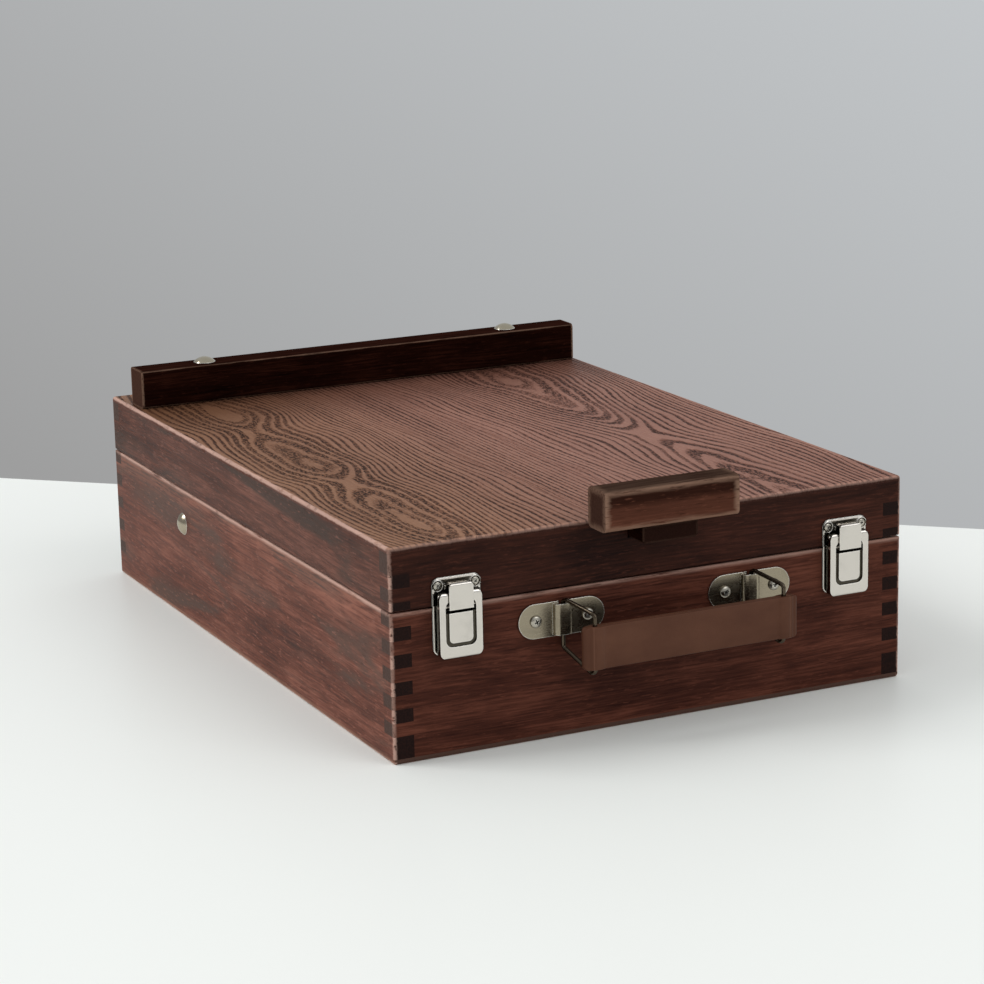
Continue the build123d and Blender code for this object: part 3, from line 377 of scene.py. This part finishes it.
def veneer(name, tones):
    """Open-grained veneer: dark pored rings that close in tongues along two lines."""
    g = Graph(bpy.data.materials.new(name))
    dark, middle, light = tones
    shift = (VENEER_SEED, 0.4 * VENEER_SEED, 0.0)
    x, y, _ = g.axes(g.where)
    ring, near = veneer_rings(g, x, y, shift)
    grit = g.noise(g.scaled(GRIT, shift), detail=3, rough=0.7)
    fibres = g.noise(g.scaled(FIBRES, shift), detail=4, rough=0.6)
    clouds = g.noise(g.scaled(VENEER_CLOUDS, shift), detail=4, rough=0.6)
    strength = g.noise(g.scaled(FADING, (2 * VENEER_SEED, 0.0, 0.0)), detail=2)
    patchy = g.noise(g.scaled(VENEER_PATCHES, shift), detail=5, rough=0.7)

    # Rings and stain.
    pores = g.step(grit, 0.42, 0.58)
    broken = g.math("MULTIPLY_ADD", near, 0.4, 0.4)
    whole = g.math("SUBTRACT", 1.0, broken)
    valley = g.math("MULTIPLY", ring, g.math("MULTIPLY_ADD", pores, broken, whole))
    firm = g.math("MULTIPLY_ADD", g.step(strength, 0.25, 0.6), 0.35, 0.65)
    valley = g.math("MULTIPLY", valley, firm)
    tone = g.swing(clouds, 0.45, 0.76)
    tone = g.swing(fibres, 0.7, tone)
    tone = g.math("MULTIPLY_ADD", g.math("MULTIPLY", pores, g.step(fibres, 0.4, 0.6)), -0.14, tone)
    tone = g.math("MULTIPLY_ADD", valley, -0.74, tone, clamp=True)
    colour = g.ramp(tone, (0.05, dark), (0.52, middle), (0.92, light))
    # Painted shadow of the ledge across the back of the top.
    ledge_shadow = g.math("MULTIPLY", *(g.step(y, *limits) for limits in LEDGE_SHADOW_SPAN))
    colour = g.toward(colour, dark, ledge_shadow, 0.5)
    colour = g.mix(g.step(x, OLIVE_FROM, OLIVE_TO), colour, VENEER_OLIVE, blend="MULTIPLY")

    # The panel's edges, as the walls below them with their painted light and shade, and the rub of
    # the lid's edges.
    facing = g.axes(g.vector("ABSOLUTE", g.place["Normal"])[0])
    side_tone = g.mix(g.step(facing[0], 0.4, 0.7), MAHOGANY_LID_SHADED[1], MAHOGANY_LID_LIT[1])
    colour = g.mix(g.step(facing[2], 0.75, 0.4), colour, side_tone)
    edge = g.near_edge(LID_BOX, LID_BORDER, LID_WHOLE, g.swing(patchy, LID_STRAY))
    rub = g.math("MULTIPLY", edge, g.step(patchy, 0.24, 0.5))
    in_front = g.step(y, *(LID_BOX[0].y + behind for behind in LID_FRONT))
    rub = g.math("MULTIPLY", rub, g.math("MULTIPLY_ADD", in_front, -0.6, 1.0))
    colour = g.toward(colour, RUBBED, rub, 0.85)
    relief = g.math("MULTIPLY_ADD", valley, -1.0, g.math("MULTIPLY", fibres, 0.4))
    rough = g.math("MULTIPLY_ADD", valley, 0.2, 0.46)
    return g.finish(colour, rough, g.bump(relief, 0.8, 0.0006), Specular_IOR_Level=0.08)


# ------------------------------------------------------------------ metal and leather
SCUFFS, SMEARS, BRUSHING = 260, 90, (1800, 60)  # waves per metre; brushing across and along
SMEAR_SHADE, SMEAR_SHARE = 0.62, 0.25  # of the smears: share of the metal's tone, and strength
GLINT_R, SOFT_R = 0.0008, 0.00035  # radius of edges with a painted highlight, and of all edges
SHADE_REACH = 0.0016  # hollows narrower than this get painted shade
SHADE_BLUR = 0.0003  # half width of the change to the painted shade


def metal(name, colour, gloss, brushed=None, dark_behind=None):
    """Nickel plate: fine scuffs, painted shade in narrow hollows, rounded edges with a painted
    highlight.
    Metal behind the plane dark_behind is painted in shade."""
    g = Graph(bpy.data.materials.new(name))
    scale = [SCUFFS] * 3 if brushed is None else stretched(brushed, *BRUSHING)
    lines = g.noise(g.scaled(scale), detail=3, rough=0.6)
    smears = g.noise(g.scaled([SMEARS] * 3), detail=4, rough=0.6)
    darker = tuple(SMEAR_SHADE * part for part in colour[:3]) + (1.0,)
    shade = g.toward(colour, darker, g.step(smears, 0.5, 0.8), SMEAR_SHARE)
    # Painted highlight on rounded edges.
    shade = g.toward(shade, PAINTED_EDGE_GLINT, g.step(g.rounded(GLINT_R), 0.01, 0.12), 0.8)
    # Painted shade in narrow hollows, as in crosses, seams and corners.
    hollow = g.add("ShaderNodeAmbientOcclusion", {"Distance": SHADE_REACH}, samples=EDGE_SAMPLES)
    shade = g.toward(shade, HOLLOW_SHADE, g.step(hollow.outputs["AO"], 0.7, 0.3), 0.92)
    # Painted shade on metal behind dark_behind.
    if dark_behind is not None:
        behind = g.step(g.axes(g.where)[1], dark_behind - SHADE_BLUR, dark_behind + SHADE_BLUR)
        shade = g.mix(behind, shade, SHADED_NICKEL)
    rough = g.math("MULTIPLY_ADD", lines, 0.16, gloss - 0.06)
    rough = g.math("MULTIPLY_ADD", g.step(smears, 0.45, 0.75), 0.08, rough, clamp=True)
    return g.finish(shade, rough, g.bump(lines, 0.12, 0.00005, g.bevel(SOFT_R)), Metallic=1.0)


PEBBLES, LEATHER_GRAIN, LEATHER_DRIFT = 1300, 800, (28, 40, 60)  # waves per metre
BURNISH_R = 0.0007  # radius within which the strap's edges are burnished, with a painted highlight
LAP_HIGHLIGHT_SPAN = (0.0005, 0.0002)  # from the strap's lap: where its painted highlight line starts and is whole
FOLD_SHADE_SPAN = (0.0002, 0.0008)  # beyond the lap: where the fold's painted shade starts and is whole


def leather(name, middle, lap):
    """Smooth strap leather: fine pebbled grain, colour drift, burnished edges with a painted
    highlight.
    It is folded back beyond lap, measured along X from middle; the fold has painted shade and the
    lap a painted highlight line."""
    g = Graph(bpy.data.materials.new(name))
    cells = g.add("ShaderNodeTexVoronoi", {"Vector": g.scaled([PEBBLES] * 3), "Scale": 1.0})
    drift = g.noise(g.scaled(LEATHER_DRIFT), detail=4, rough=0.6)
    grain = g.noise(g.scaled([LEATHER_GRAIN] * 3), detail=3)
    colour = g.ramp(drift, (0.3, LEATHER_DARK), (0.72, LEATHER_LIGHT))
    away = g.math("ABSOLUTE", g.math("SUBTRACT", g.axes(g.where)[0], middle))
    from_lap = g.math("ABSOLUTE", g.math("SUBTRACT", away, lap))
    lap_highlight = g.math("MULTIPLY", g.step(from_lap, *LAP_HIGHLIGHT_SPAN), 0.35)
    edge = g.math("MAXIMUM", g.step(g.rounded(BURNISH_R), 0.02, 0.2), lap_highlight)
    # Painted shade on the folds; painted highlight on the lap lines, and burnish with a painted
    # highlight on the edges.
    fold_shade = g.step(away, *(lap + beyond for beyond in FOLD_SHADE_SPAN))
    colour = g.toward(colour, LEATHER_FOLD_SHADE, fold_shade, 0.5)
    colour = g.toward(colour, LEATHER_BURNISH_AND_HIGHLIGHT, edge, 0.6)
    relief = g.math("MULTIPLY_ADD", cells.outputs["Distance"], 0.6, g.math("MULTIPLY", grain, 0.5))
    rough = g.math("MULTIPLY_ADD", grain, 0.2, 0.42)
    return g.finish(colour, rough, g.bump(relief, 0.25, 0.0002), Specular_IOR_Level=0.12)


# ------------------------------------------------------------------ finishes of the CAD nodes
UNRUBBED = 0.01  # how far a block is taken past edges that stay unrubbed


def joined_box(*nodes):
    """Lowest and highest corner of several CAD nodes taken together."""
    boxes = [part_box(node) for node in nodes]
    lows, highs = zip(*boxes)
    return Vector(map(min, zip(*lows))), Vector(map(max, zip(*highs)))


def open_below(*nodes):
    """A joined box taken further down, so that its lower edges stay unrubbed."""
    low, high = joined_box(*nodes)
    return low - Vector((0, 0, UNRUBBED)), high


BASE_BOX = open_below("bottom_panel", "base_front_wall")
LID_BOX = open_below("top_panel", "lid_front_wall")
LEVER_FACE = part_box("left_latch_lever")[0].y
COVER_DEEP = 0.0007  # what lies further behind a lever's face is inside its window, and is in painted shade

LATCH = metal("latch_nickel", POLISHED, 0.14)
LEVER = metal("lever_nickel", POLISHED, 0.14, dark_behind=LEVER_FACE + COVER_DEEP)
# Latch and strike plates in painted shade, below their bright pressed rims.
SHADED_TROUGH = metal("shaded_trough_nickel", SHADED_NICKEL, 0.3)
HANDLE = metal("handle_nickel", SATIN, 0.23, brushed=X_GRAIN)
HINGE = metal("hinge_nickel", HINGE_METAL, 0.3, brushed=X_GRAIN)
BOLT = metal("bolt_steel", BOLT_METAL, 0.17)
WIRE = metal("wire_nickel", WIRE_METAL, 0.2)
SCREW = metal("screw_nickel", SCREW_METAL, 0.22)
STAY = metal("stay_steel", HINGE_METAL, 0.3, brushed=Y_GRAIN)
GRIP_LOW, GRIP_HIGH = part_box("grip")
GRIP_MIDDLE = (GRIP_LOW.x + GRIP_HIGH.x) / 2
BAR_AWAY = (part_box("right_ring")[1].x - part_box("left_ring")[1].x) / 2  # from the grip's middle
LAP_AWAY = BAR_AWAY + 0.0025  # from the grip's middle to the lap of its folds
GRIP = leather("grip_leather", GRIP_MIDDLE, LAP_AWAY)
OWN_METAL = {f"{side}_{part}": finish for side in ("left", "right")
             for part, finish in (("latch_lever", LEVER), ("latch_plate", SHADED_TROUGH),
                                  ("strike_plate", SHADED_TROUGH), ("ring", WIRE))}


def dress(node, material):
    """Gives a CAD node its finish."""
    slots = NODES[node].material_slots
    if not slots:
        NODES[node].data.materials.append(material)
    for each in slots:
        each.material = material


def dress_wood():
    ways = {"front_wall": X_GRAIN, "back_wall": X_GRAIN,
            "left_wall": Y_GRAIN, "right_wall": Y_GRAIN}
    # Front and back walls take the tones with painted shade, the side walls those with painted
    # light.
    stains = {("base", X_GRAIN): (MAHOGANY_SHADED, None),
              ("base", Y_GRAIN): (MAHOGANY_LIT, SIDE_DRIFT),
              ("lid", X_GRAIN): (MAHOGANY_LID_SHADED, None),
              ("lid", Y_GRAIN): (MAHOGANY_LID_LIT, LID_DRIFT)}
    # Tone of the ends of the fingers, lit on the sides and shaded on the front by painted light and
    # shade, wear of the edges, blotches of the stain.
    habits = {X_GRAIN: (END_GRAIN_LIT, 0.45, 0.6), Y_GRAIN: (END_GRAIN_SHADED, 0.95, 0.35)}
    halves = (("base", BASE_BOX, BASE_BOX[1].z, 0), ("lid", LID_BOX, None, 5))
    for half, box, rim, first_seed in halves:
        for seed, (wall, along) in enumerate(ways.items(), start=first_seed):
            name = f"{half}_{wall}"
            tones, drift = stains[half, along]
            ends, wear, blotch = habits[along]
            dress(name, wood(name, along, tones, seed, ends, box, wear, blotch, rim=rim,
                             drift=drift))
    dress("top_panel", veneer("top_panel", VENEER_TONES))
    low, high = joined_box("bottom_panel", "base_front_wall")
    past_ends = Vector((0, UNRUBBED, 0))
    endless = (low - past_ends, high + past_ends)
    dress("bottom_panel", wood("bottom_panel", Y_GRAIN, PLY_TONES, 11, END_GRAIN_LIT, endless))
    low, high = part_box("t_bar")
    middle = (low.z + high.z) / 2
    # Name, grain, tones, tone of ends and top with painted light and shade, border and wear of the
    # rub, height of a darker half.
    clamps = (("canvas_ledge", X_GRAIN, LEDGE_TONES, LEDGE_LIT_END, LEDGE_LIT_TOP, 0.0015, 0.6, None),
              ("t_bar", X_GRAIN, CLAMP_TONES, CLAMP_LIT_END, CLAMP_LIT_TOP, 0.0046, 0.75, middle),
              ("slat", Y_GRAIN, LEDGE_TONES, SLAT_SHADED_END, LEDGE_LIT_TOP, 0.0012, 0.1, None))
    for seed, (name, along, tones, end, top, border, wear, split) in enumerate(clamps, start=12):
        dress(name, wood(name, along, tones, seed, end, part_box(name), wear=wear, border=border,
                         top_tone=top, sheen=0.0, split=split, rubbed=CLAMP_RUBBED))
    inner = {"left_runner": Y_GRAIN, "right_runner": Y_GRAIN, "long_divider": Y_GRAIN,
             "cross_divider": X_GRAIN, "tripod_block": X_GRAIN, "left_slat_rail": Y_GRAIN,
             "right_slat_rail": Y_GRAIN, "slat_keeper": X_GRAIN}
    for seed, (name, along) in enumerate(inner.items(), start=15):
        dress(name, wood(name, along, BARE_TONES, seed, BARE_TONES[0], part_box(name), wear=0.2,
                         gloss=0.55))
    dress("palette", wood("palette", X_GRAIN, PALETTE_TONES, 23, PALETTE_TONES[0],
                          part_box("palette"), wear=0.3))


def dress_metal():
    finishes = {"latch_nickel": LATCH, "handle_nickel": HANDLE, "hinge_nickel": HINGE,
                "bolt_steel": BOLT, "stay_steel": STAY, "grip_leather": GRIP}
    for entry in RECORD["subparts"]:
        if entry["material_slot"] in finishes:
            dress(entry["node"], OWN_METAL.get(entry["node"], finishes[entry["material_slot"]]))


dress_wood()
dress_metal()


# ------------------------------------------------------------------ meshes made here
SHARP_ANGLE = math.radians(38)  # edges that turn further than this stay sharp
SAME_POINT = 1e-6


def add_piece(name, work, material, slot, body, *stands_for):
    """Turns a bmesh into a piece that rides on a body."""
    mesh = bpy.data.meshes.new(name)
    bmesh.ops.recalc_face_normals(work, faces=work.faces[:])
    work.to_mesh(mesh)
    work.free()
    mesh.materials.clear()
    mesh.materials.append(material)
    mesh.shade_smooth()
    mesh.set_sharp_from_angle(angle=SHARP_ANGLE)
    piece = bpy.data.objects.new(name, mesh)
    bpy.context.scene.collection.objects.link(piece)
    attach(piece, body)
    if stands_for:
        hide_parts(*stands_for)


def islands(node):
    """Lowest and highest corner of each separate solid of a CAD node."""
    work = bmesh.new()
    work.from_mesh(NODES[node].data)
    bmesh.ops.remove_doubles(work, verts=work.verts[:], dist=SAME_POINT)
    left, boxes = set(work.verts), []
    while left:
        reach, found = [left.pop()], []
        while reach:
            vertex = reach.pop()
            found.append(vertex.co.copy())
            for edge in vertex.link_edges:
                other = edge.other_vert(vertex)
                if other in left:
                    left.remove(other)
                    reach.append(other)
        boxes.append((Vector(map(min, zip(*found))), Vector(map(max, zip(*found)))))
    work.free()
    return sorted(boxes, key=lambda box: tuple(box[0]))


LATHE_SEGMENTS = 36


def lathe(work, profile):
    """Surface of revolution about Z; the profile runs from the axis to the axis."""
    rings = []
    for radius, height in profile:
        turns = [math.tau * i / LATHE_SEGMENTS for i in range(LATHE_SEGMENTS)] if radius else [0.0]
        rings.append([work.verts.new((radius * math.cos(turn), radius * math.sin(turn), height))
                      for turn in turns])
    for upper, lower in zip(rings, rings[1:]):
        for i in range(LATHE_SEGMENTS):
            corners = (upper[i % len(upper)], lower[i % len(lower)], lower[(i + 1) % len(lower)],
                       upper[(i + 1) % len(upper)])
            work.faces.new(dict.fromkeys(corners))


def carve(body, tool):
    """Mesh of body less tool; both are bmeshes and are freed."""
    objects = []
    for work in (body, tool):
        mesh = bpy.data.meshes.new("carving")
        bmesh.ops.recalc_face_normals(work, faces=work.faces[:])
        work.to_mesh(mesh)
        work.free()
        objects.append(bpy.data.objects.new("carving", mesh))
        bpy.context.scene.collection.objects.link(objects[-1])
    keep, cutter = objects
    cut = keep.modifiers.new("cut", "BOOLEAN")
    cut.object, cut.use_self = cutter, True
    depsgraph = bpy.context.evaluated_depsgraph_get()
    result = bpy.data.meshes.new_from_object(keep.evaluated_get(depsgraph))
    for each in objects:
        bpy.data.objects.remove(each)
    return result


# Screws: lengths are shares of the head's radius, heights of its height, unless noted.
DOME_STEPS, DOME_POWER = 7, 0.8
RIM_SHARE = 0.3  # upright rim below the dome
SHANK_SHARE, POINT_SHARE = 0.48, 1.6  # the point's length is a share of the shank's radius
RECESS_L, RECESS_W, RECESS_DEEP = 1.3, 0.32, 0.8
TAPER_L, TAPER_W = 0.35, 0.7  # what is left of an arm's length and width at its floor
RECESS_TURN, SCREW_TURN = 0.4, 1.9  # radians: of every recess, and from one screw to the next
SMALL_HEAD, SADDLE_HEAD = 1.1 / 2.3, 1.8 / 3.4  # height of a head over its radius
IN_FRONT, BEHIND = -1, 1  # way a head looks along Y


def cross_screw(head_r, head_h, shank_r, length):
    """Pan-head screw with a tapered cross recess; its head stands on Z = 0, its shank below."""
    rim = RIM_SHARE * head_h
    profile = [(0, head_h)]
    for i in range(1, DOME_STEPS + 1):
        turn = math.pi / 2 * i / DOME_STEPS
        dome = (head_h - rim) * math.cos(turn) ** DOME_POWER
        profile.append((head_r * math.sin(turn), rim + dome))
    profile += [(head_r, 0), (shank_r, 0), (shank_r, POINT_SHARE * shank_r - length), (0, -length)]
    body, tool = bmesh.new(), bmesh.new()
    lathe(body, profile)
    size = Matrix.Diagonal((RECESS_L * head_r, RECESS_W * head_r, 2 * RECESS_DEEP * head_h, 1))
    lift = Matrix.Translation((0, 0, head_h))
    for turn in (0, math.pi / 2):
        arm = bmesh.ops.create_cube(tool, size=1.0)["verts"]
        for vertex in arm:
            if vertex.co.z < 0:
                vertex.co.x *= TAPER_L
                vertex.co.y *= TAPER_W
        place = Matrix.Rotation(turn + RECESS_TURN, 4, "Z") @ lift @ size
        bmesh.ops.transform(tool, matrix=place, verts=arm)
    return carve(body, tool)


def detail_screws(node, body, slot, outward, head_share):
    """Cross-head screws in place of a CAD node's plain ones."""
    boxes = islands(node)
    low, high = boxes[0]
    head_r = (high.z - low.z) / 2
    head_h = head_share * head_r
    pattern = cross_screw(head_r, head_h, SHANK_SHARE * head_r, high.y - low.y - head_h)
    upright = Matrix.Rotation(-outward * math.pi / 2, 4, "X")
    work = bmesh.new()
    for number, (low, high) in enumerate(boxes):
        centre = (low + high) / 2
        face = high.y if outward == BEHIND else low.y
        turn = upright @ Matrix.Rotation(SCREW_TURN * number, 4, "Z")
        place = Matrix.Translation((centre.x, face - outward * head_h, centre.z)) @ turn
        before = len(work.verts)
        work.from_mesh(pattern)
        bmesh.ops.transform(work, matrix=place, verts=work.verts[:][before:])
    add_piece(node + "_detail", work, SCREW, slot, body, node)


def smooth(value, low, high):
    """0 at low, 1 at high, smooth between; low may be above high."""
    share = min(max((value - low) / (high - low), 0.0), 1.0)
    return share * share * (3 - 2 * share)


PLATE_T = 0.0008  # the plates lie on the wall, as the saddles do
PLATE_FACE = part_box("left_saddle")[1].y - PLATE_T
LIP_FOOT = PLATE_FACE + 0.00002  # the rims start inside the plate
LIP_W, LIP_H, LIP_EASE = 0.0013, 0.00045, 0.0004
CUP_OUT, CUP_IN, CUP_H = 0.0036, 0.0025, 0.0009
CORNER_R = 0.004
GRID_PITCH = 0.00025


def pressed_lip(name, node, body, round_top, screws):
    """Raised rim along three edges of a latch or strike plate, and a cup round each screw."""
    low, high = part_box(node)
    cups = [(a + b) / 2 for a, b in islands(screws)] if screws else []
    cups = [cup for cup in cups if low.x < cup.x < high.x]
    columns, rows = round((high.x - low.x) / GRID_PITCH), round((high.z - low.z) / GRID_PITCH)

    def height(x, z):
        """How far the rim stands out at x, z; None outside the plate's round corners."""
        beside = min(x - low.x, high.x - x)
        beyond = (high.z - z) if round_top else (z - low.z)
        inside = min(beside, beyond)
        if beside < CORNER_R and beyond < CORNER_R:
            inside = CORNER_R - math.hypot(CORNER_R - beside, CORNER_R - beyond)
        rise = LIP_H * smooth(inside, 0.0, LIP_EASE) * smooth(inside, LIP_W + LIP_EASE, LIP_W)
        for cup in cups:
            away = math.hypot(x - cup.x, z - cup.z)
            hollow = smooth(away, CUP_IN, CUP_IN + LIP_EASE)
            wall = hollow * smooth(away, CUP_OUT, CUP_OUT - LIP_EASE)
            rise = max(rise * hollow, CUP_H * wall)
        return rise if inside > 0 else None

    work = bmesh.new()
    grid = []
    for row in range(rows + 1):
        z = low.z + (high.z - low.z) * row / rows
        line = []
        for column in range(columns + 1):
            x = low.x + (high.x - low.x) * column / columns
            rise = height(x, z)
            line.append(None if rise is None else work.verts.new((x, LIP_FOOT - rise, z)))
        grid.append(line)
    for lower, upper in zip(grid, grid[1:]):
        for i in range(columns):
            corners = (lower[i], lower[i + 1], upper[i + 1], upper[i])
            if all(corners) and min(corner.co.y for corner in corners) < PLATE_FACE:
                work.faces.new(corners)
    bmesh.ops.delete(work, geom=[v for v in work.verts if not v.link_faces], context="VERTS")
    add_piece(name, work, LATCH, "latch_nickel", body)


WIRE_R, BAR_PLAY = 0.0012, 0.0003
STRAP_HALF_T, STRAP_END_R = 0.0026, 0.0026
EYE_HALF_L, EYE_HALF_T = 0.0064, 0.00395
STRAP_EDGE_R, STRAP_CORNER_R = 0.0008, 0.003
EDGE_SHARE = 0.6  # most of the half thickness that the rounding of an edge takes
STRAP_STEPS, EDGE_STEPS, HOLE_STEPS = 160, 4, 24
LAP_W, LAP_DEEP = 0.0012, 0.0003
SEAM_DEEP = 0.0005
SEAM_CURVE = ((0.0, 1.0), (0.1, 0.3), (0.3, 0.0))  # shares of the half thickness and of that depth


def leather_grip():
    """A strap folded round the two ring bars and pressed together between them."""
    half = (GRIP_HIGH.x - GRIP_LOW.x) / 2
    centre_y = (GRIP_LOW.y + GRIP_HIGH.y) / 2
    work = bmesh.new()
    loops = []
    for step in range(STRAP_STEPS + 1):
        away = half * math.sin(math.pi * (step / STRAP_STEPS - 0.5))
        out = abs(away)
        thick = STRAP_HALF_T
        past = out - (half - STRAP_END_R)
        if past > 0:
            thick = math.sqrt(max(STRAP_END_R ** 2 - past ** 2, 1e-9))
        reach = 1 - ((out - BAR_AWAY) / EYE_HALF_L) ** 2
        thick = max(thick, EYE_HALF_T * math.sqrt(reach) if reach > 0 else 0.0)
        sunk = smooth(out, LAP_AWAY - LAP_W, LAP_AWAY) * smooth(out, LAP_AWAY + LAP_W / 3, LAP_AWAY)
        thick -= LAP_DEEP * sunk
        drop = 0.0
        corner = out - (half - STRAP_CORNER_R)
        if corner > 0:
            drop = STRAP_CORNER_R - math.sqrt(max(STRAP_CORNER_R ** 2 - corner ** 2, 0.0))
        bottom, top = GRIP_LOW.z + drop, GRIP_HIGH.z - drop
        ease = min(STRAP_EDGE_R, EDGE_SHARE * thick)
        seam = SEAM_DEEP * thick / STRAP_HALF_T
        upper = [(share * thick, top - deep * seam) for share, deep in SEAM_CURVE]
        upper += [(thick - ease + ease * math.sin(turn), top - ease + ease * math.cos(turn))
                  for turn in (math.pi / 2 * i / EDGE_STEPS for i in range(EDGE_STEPS + 1))]
        middle_z = (bottom + top) / 2
        lower = [(y, 2 * middle_z - z) for y, z in reversed(upper)]
        right_half = upper + [(thick, middle_z)] + lower
        left_half = [(-y, z) for y, z in reversed(right_half[1:-1])]
        loops.append([work.verts.new((GRIP_MIDDLE + away, centre_y + y, z))
                      for y, z in right_half + left_half])
    for first, second in zip(loops, loops[1:]):
        for i, corner in enumerate(first):
            j = (i + 1) % len(first)
            work.faces.new((corner, first[j], second[j], second[i]))
    for end in (loops[0], loops[-1]):
        work.faces.new(end)
    tool = bmesh.new()
    hole_r, hole_l = WIRE_R + BAR_PLAY, 2 * (GRIP_HIGH.z - GRIP_LOW.z)
    for x in (GRIP_MIDDLE - BAR_AWAY, GRIP_MIDDLE + BAR_AWAY):
        place = Matrix.Translation((x, centre_y, (GRIP_LOW.z + GRIP_HIGH.z) / 2))
        bmesh.ops.create_cone(tool, cap_ends=True, segments=HOLE_STEPS, radius1=hole_r,
                              radius2=hole_r, depth=hole_l, matrix=place)
    result = bmesh.new()
    result.from_mesh(carve(work, tool))
    add_piece("grip_strap", result, GRIP, "grip_leather", "grip", "grip")


detail_screws("strike_screws", "lid", "latch_nickel", IN_FRONT, SMALL_HEAD)
detail_screws("latch_plate_screws", "base", "latch_nickel", IN_FRONT, SMALL_HEAD)
detail_screws("saddle_screws", "base", "handle_nickel", IN_FRONT, SADDLE_HEAD)
detail_screws("hinge_base_screws", "base", "hinge_nickel", BEHIND, SMALL_HEAD)
detail_screws("hinge_lid_screws", "lid", "hinge_nickel", BEHIND, SMALL_HEAD)
for hand in ("left", "right"):
    pressed_lip(f"{hand}_strike_lip", f"{hand}_strike_plate", "lid", True, "strike_screws")
    pressed_lip(f"{hand}_plate_lip", f"{hand}_latch_plate", "base", False, None)
leather_grip()


# ------------------------------------------------------------------ table, light and camera
CAMERA_PLACE = Vector((-0.74603, -1.58065, 0.51392))
CAMERA_AZIMUTH, CAMERA_ELEVATION, CAMERA_ROLL = -25.525, 13.868, -1.267
LENS, SENSOR = 106.57, 36.0
TABLE_TURN = -42.5  # degrees from the X axis to the table's back edge
TABLE_BACK = 0.292  # from the box's middle to that edge
TABLE_SIZE, TABLE_THICK, TABLE_EASE = 8.0, 0.03, 0.004
SMUDGES = 6  # waves per metre
LAMP_AIM = Vector((0, 0, 0.06))
WALL_TILT, WALL_SPAN = 1.2, 0.62  # the wall's two tones lie at X + tilt * Z = 0 and span
SOFT_LIGHT = 0.76


def add_table():
    """Pale table with eased edges, turned about the box."""
    mesh = bpy.data.meshes.new("table")
    half = TABLE_SIZE / 2
    work = bmesh.new()
    bmesh.ops.create_cube(work, size=1.0)
    size = Matrix.Diagonal((TABLE_SIZE, TABLE_SIZE, TABLE_THICK, 1))
    place = Matrix.Translation((0, TABLE_BACK - half, -TABLE_THICK / 2))
    work.transform(Matrix.Rotation(math.radians(TABLE_TURN), 4, "Z") @ place @ size)
    bmesh.ops.bevel(work, geom=work.edges[:], offset=TABLE_EASE, segments=3, affect="EDGES")
    work.to_mesh(mesh)
    work.free()
    table = bpy.data.objects.new("table", mesh)
    bpy.context.scene.collection.objects.link(table)
    g = Graph(bpy.data.materials.new("table"))
    smudge = g.noise(g.scaled([SMUDGES] * 3), detail=3)
    colour = g.toward(TABLE, TABLE_SMUDGE, smudge, 0.12)
    mesh.materials.append(g.finish(colour, 0.38, Specular_IOR_Level=0.15))


def add_lamp(name, place, size, power):
    """Square soft lamp at place that looks at the box."""
    data = bpy.data.lights.new(name, "AREA")
    data.shape = "SQUARE"
    data.size = size
    data.energy = power
    lamp = bpy.data.objects.new(name, data)
    lamp.location = place
    lamp.rotation_mode = "QUATERNION"
    lamp.rotation_quaternion = (LAMP_AIM - Vector(place)).to_track_quat("-Z", "Y")
    bpy.context.scene.collection.objects.link(lamp)


def add_world():
    """A grey wall for camera and reflections, plain soft light for everything else."""
    world = bpy.data.worlds.new("studio")
    bpy.context.scene.world = world
    g = Graph(world)
    across, _, upward = g.axes(g.place["Generated"])
    rise = g.math("MULTIPLY_ADD", upward, WALL_TILT, across)
    spread = g.add("ShaderNodeMapRange", {"Value": rise, "From Min": 0.0, "From Max": WALL_SPAN})
    wall = g.ramp(spread.outputs[0], (0.0, WALL_LEFT), (1.0, WALL_RIGHT))
    seen = g.add("ShaderNodeBackground", {"Color": wall}).outputs[0]
    white = (1.0, 1.0, 1.0, 1.0)
    soft = g.add("ShaderNodeBackground", {"Color": white, "Strength": SOFT_LIGHT}).outputs[0]
    rays = g.add("ShaderNodeLightPath").outputs
    direct = g.math("MAXIMUM", rays["Is Camera Ray"], rays["Is Glossy Ray"])
    chosen = g.add("ShaderNodeMixShader", {0: direct, 1: soft, 2: seen}).outputs[0]
    g.add("ShaderNodeOutputWorld", {"Surface": chosen})


def add_camera():
    azimuth, elevation, roll = map(math.radians, (CAMERA_AZIMUTH, CAMERA_ELEVATION, CAMERA_ROLL))
    forward = Vector((-math.sin(azimuth) * math.cos(elevation),
                      math.cos(azimuth) * math.cos(elevation), -math.sin(elevation)))
    right = forward.cross(Vector((0, 0, 1))).normalized()
    up = right.cross(forward)
    level = right * math.cos(roll) + up * math.sin(roll)
    upright = up * math.cos(roll) - right * math.sin(roll)
    data = bpy.data.cameras.new("camera")
    data.lens, data.sensor_width = LENS, SENSOR
    camera = bpy.data.objects.new("camera", data)
    turned = Matrix((level, upright, -forward)).transposed().to_4x4()
    camera.matrix_world = Matrix.Translation(CAMERA_PLACE) @ turned
    bpy.context.scene.collection.objects.link(camera)
    bpy.context.scene.camera = camera


add_table()
add_lamp("key", (-6.7, 3.2, 6.7), 4.5, 405)
add_lamp("fill", (3.3, -6.6, 5.85), 5.4, 148)
add_world()
add_camera()
bpy.context.scene.view_settings.view_transform = "Standard"
